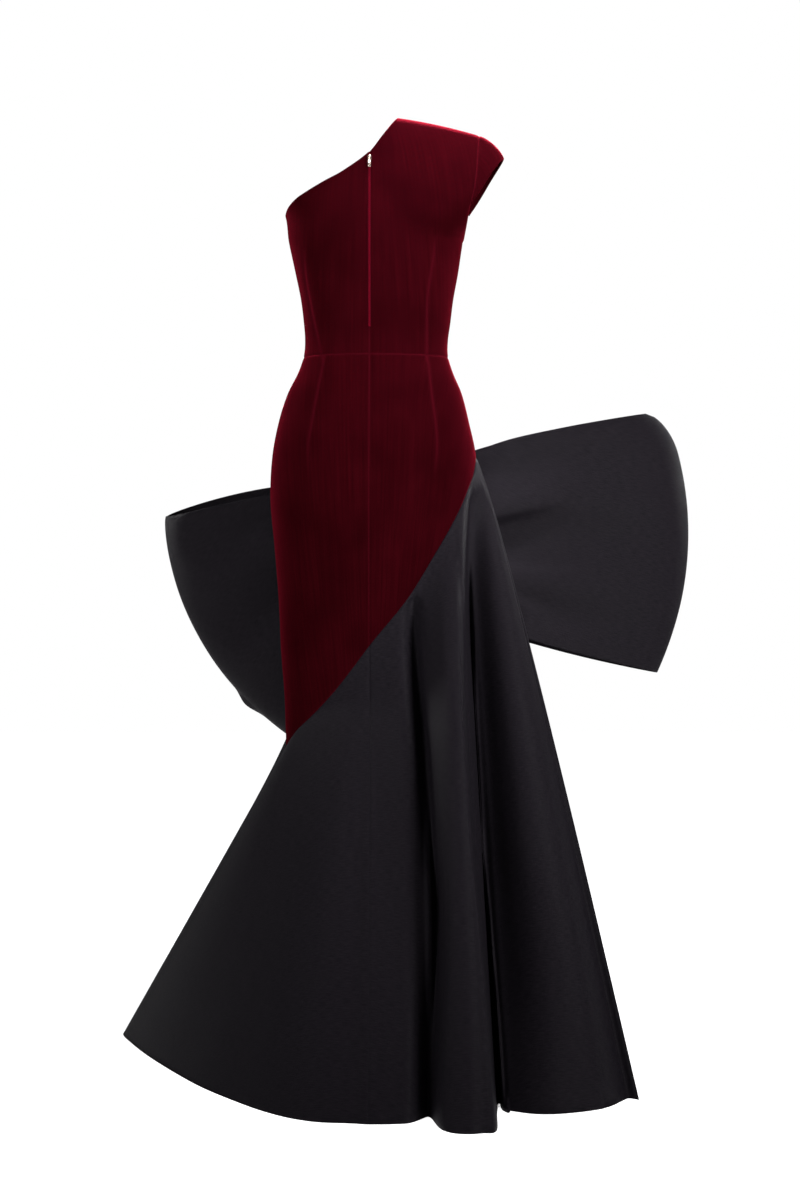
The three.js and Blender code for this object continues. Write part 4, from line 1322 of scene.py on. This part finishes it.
@dataclass
class Bow:
    """The big flat bow at the front: two loops and the knot band."""

    origin: Origin
    material: bpy.types.Material
    knot_x: float = -50.0
    knot_y: float = -137.0
    knot_height: float = 843.0
    knot_wide: float = 62.0
    knot_half_tall: float = 56.0
    knot_half_deep: float = 21.0
    knot_thickness: float = 3.5
    knot_gather: float = 1.3
    knot_belly: float = 0.08
    knot_columns: int = 96
    knot_rows: int = 40
    columns: int = 150
    rows: int = 90
    thickness: float = 1.8
    roundness: float = 0.9
    root_start: float = 5.0
    root_half_tall: float = 44.0
    root_half_deep: float = 10.0
    fan: float = 0.4
    turn_in: float = 0.3
    clear: float = 4.0
    corner_from: float = 0.7
    gather_share: float = 0.8
    gather_ease: float = 0.7
    by_ends: tuple[float, ...] = (0.004, 0.01, 0.018, 0.982, 0.99, 0.996)

    loops = (
        Loop("bow_loop_right", (-0.97, -0.24, -0.035), (-0.035, 0, 1), 530, 50, 233, 38, 1, 38,
             Cut(1.10, 0.47, 0.345, "gathered", ("bow_knot",))),
        Loop("bow_loop_left", (0.79, -0.46, -0.41), (0.49, 0.09, 0.87), 458, 60, 230, 34, -1, 6,
             Cut(0.96, 0.46, 0.285, "gathered", ("bow_knot",))),
    )
    # Waves across the knot's band: how many, how far they wander, and their share of the depth
    knot_waves = ((3.2, 1.0, 1.0), (5.3, -2.0, 0.5))
    # Their wander round the knot: how many times, how far, and where it starts
    knot_wander = ((1.0, 0.07, 0.6), (3.0, 0.03, 0.0))
    # Gathers of a loop, radiating from the knot: where they cross it, how deep and how wide they are
    gathers = Table("across depth width", (
        (-0.72, -9, 0.16), (-0.38, 10, 0.2), (0.02, -12, 0.2), (0.4, 9, 0.17), (0.74, -7, 0.15),
    ))

    # Creases of the wall in front, whose normals point back into the loop, placed as seen from behind
    back_creases = (
        Crease(((120, 880, 0), (180, 862, 12), (252, 842, 17), (330, 830, 10), (380, 830, 0)), 30, 30),
        Crease(((120, 846, 0), (161, 808, -20), (200, 772, -26), (238, 738, -16), (280, 712, 0)), 15, 20),
        Crease(((120, 715, 0), (160, 695, 14), (208, 682, 22), (250, 664, 13), (290, 645, 0)), 22, 22),
        Crease(((110, 640, 0), (150, 600, -8), (200, 560, -9), (250, 545, 0)), 20, 24),
        Crease(((-190, 975, 0), (-214, 972, -4), (-240, 974, -5), (-275, 984, 0)), 5, 7),
        # A broad swell outwards beside the flounce
        Crease(((-190, 1000, 0), (-202, 950, -32), (-216, 880, -45), (-235, 800, -46), (-252, 720, -38),
                (-266, 650, -18)), 60, 30),
        Crease(((-200, 860, 0), (-260, 880, 7), (-350, 905, 9), (-450, 920, 5), (-500, 925, 0)), 40, 50),
        Crease(((-200, 800, 0), (-260, 780, -6), (-340, 750, -7), (-430, 720, 0)), 26, 34),
    )
    # Creases of the wall behind, placed as seen from the front
    front_creases = (
        Crease(((-90, 850, 0), (-150, 862, -7), (-240, 880, -10), (-340, 905, 0)), 12, 24),
        Crease(((-90, 835, 0), (-160, 815, 8), (-270, 795, 10), (-400, 790, 0)), 22, 30),
        Crease(((-95, 822, 0), (-150, 780, -8), (-230, 730, -9), (-320, 690, 0)), 20, 12),
        Crease(((-10, 850, 0), (50, 845, -7), (130, 835, -10), (220, 830, 0)), 22, 12),
        Crease(((-10, 830, 0), (60, 780, 8), (150, 715, 10), (260, 640, 0)), 26, 22),
        Crease(((-14, 815, 0), (30, 745, -8), (80, 660, -9), (130, 590, 0)), 12, 20),
    )

    def loop_relief(self, grid: Grid) -> Array:
        """The creases of both walls, by the way their normals point, which is into the loop."""
        behind = creased(self.back_creases, CAMERA.seen(grid.points))
        before = creased(self.front_creases, from_front(grid.points))
        return np.where(grid.normals[..., 1] > 0, behind, before)

    def knot_relief(self, grid: Grid) -> Array:
        """Gathers round the knot: two waves across the band that wander a little round it."""
        turn = 2 * np.pi
        wander = sum(far * np.sin(turn * times * grid.u + start) for times, far, start in self.knot_wander)
        waves = sum(deep * np.sin(turn * (times * grid.v + far * wander))
                    for times, far, deep in self.knot_waves)
        return self.knot_gather * waves * np.sin(np.pi * grid.v) ** 0.5

    def loop_point(self, loop: Loop, u: Array, v: Array) -> Array:
        """A loop's point: a wide band that leaves the knot, folds back at its end and returns in front.

        Half a turn over the shares across gives the reach by its cosine and the depth by its sine; the width
        fans out from the root, and the gathers' bells add to the depth.
        """
        angle = np.radians(mix(-90, 90, u) * loop.back_first)
        across = mix(-1, 1, v)
        out = np.maximum(np.cos(angle), 0) ** self.roundness
        turned = np.sin(angle)
        root = (self.knot_wide / 2 + self.clear - self.root_start) / (loop.length - self.root_start)
        free = np.maximum(out - root, 0)
        blend = smooth(free / self.turn_in)[..., None]
        axis = unit(mix(np.array([np.sign(loop.axis[0]), 0.0, 0.0]), np.array(loop.axis), blend))
        up = unit(mix(np.array([0.0, 0.0, 1.0]), np.array(loop.up, float), blend))
        facing = unit(np.cross(axis, up)) * loop.back_first
        half_tall = mix(self.root_half_tall, loop.half_tall, free ** self.fan)
        in_corner = np.clip((across - self.corner_from) / (1 - self.corner_from), 0, 1)
        rounded = loop.corner * (1 - np.sqrt(1 - in_corner ** 2))
        reach = self.root_start + (loop.length - loop.sag * across ** 2 - rounded - self.root_start) * out
        folds = sum(depth * hump(across - at, width) for at, depth, width in self.gathers.rows)
        gather = folds * np.sin(np.pi * np.clip(free, 0, 1)) ** self.gather_ease
        deep = turned * (self.root_half_deep + 2 * loop.swell * free + gather * self.gather_share)
        flat = axis * reach[..., None] + up * (across * half_tall)[..., None]
        return np.array([self.knot_x, self.knot_y, self.knot_height]) + flat + facing * deep[..., None]

    def knot_point(self, u: Array, v: Array) -> Array:
        """The knot's band: an oval round the roots of the loops with a slight belly."""
        angle = 2 * np.pi * u
        belly = 1 + self.knot_belly * np.sin(np.pi * v)
        x = self.knot_x + mix(self.knot_wide / 2, -self.knot_wide / 2, v)
        y = self.knot_y + self.knot_half_deep * belly * np.cos(angle)
        return np.stack([x, y, self.knot_height + self.knot_half_tall * belly * np.sin(angle)], -1)

    def build(self) -> None:
        """Makes the two loops and the knot."""
        for loop in self.loops:
            def surface(u: Array, v: Array, loop: Loop = loop) -> Array:
                """The loop's band."""
                return self.loop_point(loop, u, v)
            across = even_by_length(surface, self.columns, 0.5)
            across = np.unique(np.concatenate([across, self.by_ends]))
            cloth = Cloth(loop.name, surface, across, np.linspace(0, 1, self.rows + 1), self.thickness,
                          relief=self.loop_relief)
            sew(cloth, self.origin, self.material)
        around, across = np.linspace(0, 1, self.knot_columns + 1)[:-1], np.linspace(0, 1, self.knot_rows + 1)
        knot = Cloth("bow_knot", self.knot_point, around, across, self.knot_thickness,
                     relief=self.knot_relief, closed=True)
        piece = knot.build(self.origin)
        dress(piece, self.material, ["bow_knot"])


ACROSS = np.array([1.0, 0.0, 0.0])
# Heights just below, at and just above a place, from which its slope is taken
AROUND = np.array([-1.0, 0.0, 1.0])


@dataclass(frozen=True)
class Seat:
    """A place on the centre back with its own axes: x across, y out of the cloth and z up along it."""

    height: float

    def floor(self, local: Array) -> Array:
        """Points of the seat's axes in the floor's millimetres."""
        near = BODY.point(np.zeros(3), self.height + AROUND)
        up = unit(near[2] - near[0])
        return near[1] + local @ np.stack([ACROSS, np.cross(up, ACROSS), up])


def back_strip(x: Array, height: Array, lift: float) -> Array:
    """Points beside the centre back, lifted out of the cloth."""
    turn = -np.degrees(np.arcsin(x / BODY.back_of(height)))
    rise = BODY.point(turn, height + 1) - BODY.point(turn, height - 1)
    return BODY.point(turn, height) + unit(np.cross(rise, ACROSS)) * lift


@dataclass
class Solid:
    """Closed shells of four-sided faces, gathered into one piece."""

    points: list[Array] = field(default_factory=list)
    faces: list[Array] = field(default_factory=list)

    def add(self, rings: Array, wraps: bool = False) -> None:
        """Joins rings of points in order, and turns the faces outwards.

        Args:
            rings: Rings, points and coordinates.
            wraps: True where the last ring joins the first. Otherwise a point in the middle closes each end.
        """
        count, around = rings.shape[:2]
        numbers = np.arange(count * around).reshape(count, around)
        points = rings.reshape(-1, 3)
        low, high = (numbers, np.roll(numbers, -1, 0)) if wraps else (numbers[:-1], numbers[1:])
        ahead = np.roll(np.arange(around), -1)
        faces = np.stack([low, high, high[:, ahead], low[:, ahead]], -1).reshape(-1, 4)
        if not wraps:
            middles = rings[[0, -1]].mean(1)
            foot, tip = np.full(around, count * around), np.full(around, count * around + 1)
            points = np.vstack([points, middles])
            first, last = numbers[0], numbers[-1]
            faces = np.vstack([faces, np.stack([foot, first, first[ahead], first[ahead]], -1),
                               np.stack([last, tip, last[ahead], last[ahead]], -1)])
        a, b, c, d = (points[faces[:, k]] - points.mean(0) for k in range(4))
        volume = (np.cross(a, b) * c).sum() + (np.cross(a, c) * d).sum()
        if volume < 0:
            three = faces[:, 2] == faces[:, 3]
            faces = np.where(three[:, None], faces[:, [1, 0, 2, 2]], faces[:, ::-1])
        self.faces.append(faces + sum(len(block) for block in self.points))
        self.points.append(points)

    def build(self, name: str, origin: Origin) -> bpy.types.Object:
        """Makes the piece from its shells, which are in the floor's millimetres."""
        return mesh_piece(name, origin.metres(np.vstack(self.points)), np.vstack(self.faces))


def rounded_outline(corners: Sequence[tuple[float, float]], radii: Sequence[float], steps: int = 7) -> Array:
    """A polygon whose corners are each a square curve between the points a radius away from it."""
    spots = np.array(corners, float)
    before, after = np.roll(spots, 1, 0), np.roll(spots, -1, 0)
    size = np.array(radii)[:, None]
    start, end = spots + unit(before - spots) * size, spots + unit(after - spots) * size
    t = np.linspace(0, 1, steps)[None, :, None]
    curve = start[:, None] * (1 - t) ** 2 + spots[:, None] * 2 * t * (1 - t) + end[:, None] * t ** 2
    return curve.reshape(-1, 2)


def inset(outline: Array, by: float) -> Array:
    """An outline moved in by a distance, square to itself."""
    along = unit(np.roll(outline, -1, 0) - np.roll(outline, 1, 0))
    inwards = np.stack([-along[:, 1], along[:, 0]], -1)
    turned = (outline[:, 0] * np.roll(outline[:, 1], -1) - outline[:, 1] * np.roll(outline[:, 0], -1)).sum()
    return outline + inwards * by * np.sign(turned)


def layers(outline: Array, steps: Sequence[tuple[float, float]]) -> Array:
    """Rings of an outline in x and z, each with its inset and its y."""
    flat = [(inset(outline, by), y) for by, y in steps]
    return np.stack([np.stack([ring[:, 0], np.full(len(ring), y), ring[:, 1]], -1) for ring, y in flat])


@dataclass
class Fastening:
    """The closed zip down the centre back: woven tape, nylon coil, slider and pull.

    The coil's teeth are seen from outside, as short rounded bars that reach across from either side in turn.
    The pull hangs from a bar in the slider's bridge, and turns with its own body.
    """

    origin: Origin
    tape: bpy.types.Material
    coil: bpy.types.Material
    metal: bpy.types.Material
    foot: float = 1176.0
    top: float = 1447.0
    half_wide: float = 2.2
    lift: float = 0.3
    tape_thick: float = 0.55
    tooth_pitch: float = 1.5
    tooth_half: tuple[float, float, float] = (1.25, 0.5, 0.56)
    tooth_shift: float = 0.35
    tooth_lift: float = 0.95
    tooth_sides: int = 8
    coil_foot: float = 1.0
    coil_top: float = 0.6
    tape_columns: int = 8
    tape_rows: int = 80
    seat_height: float = 1452.0
    slider_base: float = 1.8
    slider_half_long: float = 5.0
    slider_top: float = 6.4
    slider_foot: float = 4.2
    slider_thick: float = 2.2
    bridge_half_long: float = 2.85
    bridge_rise: float = 2.25
    bridge_sunk: float = 0.3
    bridge_wide: float = 0.7
    bridge_thick: float = 0.45
    bridge_square: float = 0.6
    bridge_lean: float = 1.4
    pull_rise: float = 1.05
    pull_bar: float = 0.5
    pull_half_wide: float = 2.5
    pull_long: float = 17.0
    pull_thick: float = 1.0
    window_half: float = 1.2
    window_end: float = 4.3

    # Angles of a tooth's rings from its middle, in degrees
    tooth_rings = (-68, -34, 0, 34, 68)
    # Rings of the slider, by inset and height: the lower plate, the channel of the teeth, the upper plate
    slider_rings = ((0.4, 0.0), (0.12, 0.08), (0.0, 0.3), (0.0, 0.7), (0.45, 0.8), (0.45, 1.25), (0.0, 1.35),
                    (0.0, 1.85), (0.1, 2.06), (0.34, 2.17), (1.0, 2.2))
    slider_radii = (0.9, 2.9, 2.9, 0.9)
    # Rounding of the pull's edges, by inset and depth under its face
    pull_edge = ((0.3, 0.0), (0.1, 0.08), (0.0, 0.28))
    pull_radii = (0.45, 0.45, 2.2, 2.2)
    window_radii = (0.3, 0.3, 0.5, 0.5)
    window_edge: float = 0.5

    @property
    def slider_face(self) -> float:
        """How far the slider's face stands out of the cloth."""
        return self.slider_base + self.slider_thick

    def build(self) -> None:
        """Makes the tape, the coil, the slider and the pull."""
        def strip(u: Array, v: Array) -> Array:
            """The outside of the tape."""
            x = mix(self.half_wide, -self.half_wide, u)
            return back_strip(x, mix(self.foot, self.top, v), self.lift + self.tape_thick)
        across, up = np.linspace(0, 1, self.tape_columns + 1), np.linspace(0, 1, self.tape_rows + 1)
        tape = Cloth("zip_tape", strip, across, up, self.tape_thick)
        dress(tape.build(self.origin), self.tape, [])
        dress(self.teeth(), self.coil, ["zip_chain"])
        dress(self.slider(), self.metal, ["zip_slider"])
        dress(self.pull(), self.metal, ["zip_pull"], "zip_pull")

    def teeth(self) -> bpy.types.Object:
        """The coil: each tooth an ellipsoid of 40 faces."""
        solid = Solid()
        around = np.linspace(0, 2 * np.pi, self.tooth_sides + 1)[:-1]
        along = np.radians(self.tooth_rings)[:, None]
        ring = np.cos(along)
        ball = np.stack([np.sin(along) + 0 * around, ring * np.cos(around), ring * np.sin(around)], -1)
        heights = np.arange(self.foot + self.coil_foot, self.top - self.coil_top, self.tooth_pitch)
        for number, height in enumerate(heights):
            seat = back_strip(np.zeros(3), height + AROUND, self.tooth_lift)
            up = unit(seat[2] - seat[0])
            axes = np.stack([ACROSS, np.cross(up, ACROSS), up])
            shift = np.array([self.tooth_shift if number % 2 else -self.tooth_shift, 0.0, 0.0])
            solid.add(seat[1] + (ball * np.array(self.tooth_half) + shift) @ axes)
        return solid.build("zip_coil", self.origin)

    def slider(self) -> bpy.types.Object:
        """The slider's two plates with the teeth's channel between them, and the bridge over its face."""
        seat, solid = Seat(self.seat_height), Solid()
        half = self.slider_half_long
        wide, narrow = self.slider_top / 2, self.slider_foot / 2
        corners = ((narrow, -half), (wide, half), (-wide, half), (-narrow, -half))
        outline = rounded_outline(corners, self.slider_radii)
        solid.add(seat.floor(layers(outline, [(by, self.slider_base + y) for by, y in self.slider_rings])))
        share = np.linspace(0, 1, 19)[:, None]
        angle = np.pi * share
        middle_z = -self.bridge_half_long * np.cos(angle)
        bridge_foot = self.slider_face - self.bridge_sunk
        middle_y = bridge_foot + (self.bridge_rise + self.bridge_sunk) * np.sin(angle) ** self.bridge_square
        around = np.linspace(0, 2 * np.pi, 13)[:-1]
        along = self.bridge_half_long * np.sin(angle)
        way = unit(np.stack([along, self.bridge_lean * self.bridge_rise * np.cos(angle)], -1))
        thick = self.bridge_thick * np.sin(around)
        x = self.bridge_wide * np.cos(around) + 0 * angle
        y = middle_y + thick * way[..., 0]
        solid.add(seat.floor(np.stack([x, y, middle_z - thick * way[..., 1]], -1)))
        return solid.build("zip_slider_metal", self.origin)

    def pull(self) -> bpy.types.Object:
        """The pull: a flat tab with rounded edges, and a window whose top bar runs through the bridge."""
        seat, solid = Seat(self.seat_height), Solid()
        half, end = self.pull_half_wide, -self.pull_long
        outer = rounded_outline(((half, self.pull_bar), (-half, self.pull_bar), (-half, end), (half, end)),
                                self.pull_radii)
        wide, low = self.window_half, -self.window_end
        window = rounded_outline(((wide, -self.pull_bar), (-wide, -self.pull_bar), (-wide, low), (wide, low)),
                                 self.window_radii)
        axis, deep = self.slider_face + self.pull_rise, self.pull_thick / 2
        edge = [(by, deep - down) for by, down in self.pull_edge]
        edge += [(by, down - deep) for by, down in reversed(self.pull_edge)]
        around = layers(outer, [(by, axis + y) for by, y in edge])
        inside = layers(window, [(-by * self.window_edge, axis - y) for by, y in edge])
        solid.add(seat.floor(np.concatenate([around, inside])), wraps=True)
        return solid.build("zip_pull_metal", self.origin)


@dataclass
class Studio:
    """White floor, soft lights and the photograph's camera."""

    origin: Origin
    floor_half: float = 9000.0
    sky: float = 0.08

    # Soft boxes: name, place, what each is turned to, size, watts and the spread of its beam in degrees
    lights = (
        ("key_left", (3300, 2600, 2300), (-40, 150, 1150), 1300, 11.5, 46),
        ("key_right", (-2700, 3200, 2300), (-40, 150, 1150), 1300, 34, 46),
        ("hair", (-150, -2000, 2900), (-115, 0, 1500), 400, 10, 16),
        ("shoulder", (-150, 700, 3100), (-115, 30, 1500), 300, 1.6, 14),
        ("rim_left", (2600, -1700, 1900), (60, 0, 1300), 500, 7, 24),
        ("rim_right", (-2600, -1700, 1900), (-60, 0, 1330), 500, 5.5, 24),
    )

    def build(self) -> None:
        """Makes the floor, the lights, the world and the camera."""
        self.floor()
        self.world()
        for name, place, aim, size, watts, spread in self.lights:
            self.light(name, place, aim, size, watts, spread)
        self.camera()

    def floor(self) -> None:
        """A wide plane on which the hem rests."""
        half = self.floor_half
        corners = np.array([(-half, -half, 0), (half, -half, 0), (half, half, 0), (-half, half, 0)], float)
        floor = mesh_piece("studio_floor", self.origin.metres(corners), np.array([[0, 1, 2, 3]]))
        floor.data.materials.append(StudioPaper().build())

    def world(self) -> None:
        """White as it is seen, and softer as a light."""
        world = bpy.data.worlds.new("studio")
        world.use_nodes = True
        tree = world.node_tree
        tree.nodes.clear()
        soft = add_node(tree, "ShaderNodeBackground", {"Color": (1, 1, 1, 1), "Strength": self.sky})
        white = add_node(tree, "ShaderNodeBackground", {"Color": (1, 1, 1, 1), "Strength": 1.0})
        seen = add_node(tree, "ShaderNodeLightPath").outputs["Is Camera Ray"]
        both = add_node(tree, "ShaderNodeMixShader", {0: seen, 1: soft.outputs[0], 2: white.outputs[0]})
        add_node(tree, "ShaderNodeOutputWorld", {"Surface": both.outputs[0]})
        bpy.context.scene.world = world

    def light(self, name: str, place: Sequence[float], aim: Sequence[float], size: float, watts: float,
              spread: float) -> None:
        """A square soft box at a place, turned to what it lights, its beam a spread of degrees wide."""
        lamp = bpy.data.lights.new(name, "AREA")
        lamp.spread = math.radians(spread)
        lamp.size = size * MM
        lamp.energy = watts
        made = bpy.data.objects.new(name, lamp)
        made.location = self.origin.metres(np.array(place, float))
        aimed = self.origin.metres(np.array(aim, float)) - np.array(made.location)
        made.rotation_euler = lamp_turn(aimed)
        bpy.context.scene.collection.objects.link(made)

    def camera(self) -> None:
        """The camera behind the wearer, level, looking along -y."""
        lens = bpy.data.cameras.new("camera")
        lens.lens = CAMERA.lens
        lens.sensor_width = 36.0
        made = bpy.data.objects.new("camera", lens)
        made.location = self.origin.metres(np.array([CAMERA.x, CAMERA.distance, CAMERA.height]))
        made.rotation_euler = (math.pi / 2, 0, math.pi)
        bpy.context.scene.collection.objects.link(made)
        bpy.context.scene.camera = made
        bpy.context.scene.view_settings.view_transform = "Standard"


def lamp_turn(way: Array) -> tuple[float, float, float]:
    """The turn that points a lamp's -z along a way: a tilt from straight down, then a turn about z."""
    tilt = math.acos(-way[2] / float(np.linalg.norm(way)))
    return (tilt, 0.0, math.atan2(way[1], way[0]) - math.pi / 2)


def main() -> None:
    """Builds the gown and its studio."""
    logging.basicConfig(level=logging.INFO, format="%(message)s")
    mount_x = -115.0
    origin = Origin(mount_x, float(BODY.shoulder_height(mount_x)) - VelvetDress.thickness)
    velvet, faille = SilkVelvet().build(), SilkFaille().build()
    tape, coil, metal = PolyesterTape().build(), NylonCoil().build(), PaleNickel().build()
    VelvetDress(origin, velvet).build()
    Flounce(origin, faille).build()
    Bow(origin, faille).build()
    Fastening(origin, tape, coil, metal).build()
    Studio(origin).build()


if __name__ == "__main__":
    main()
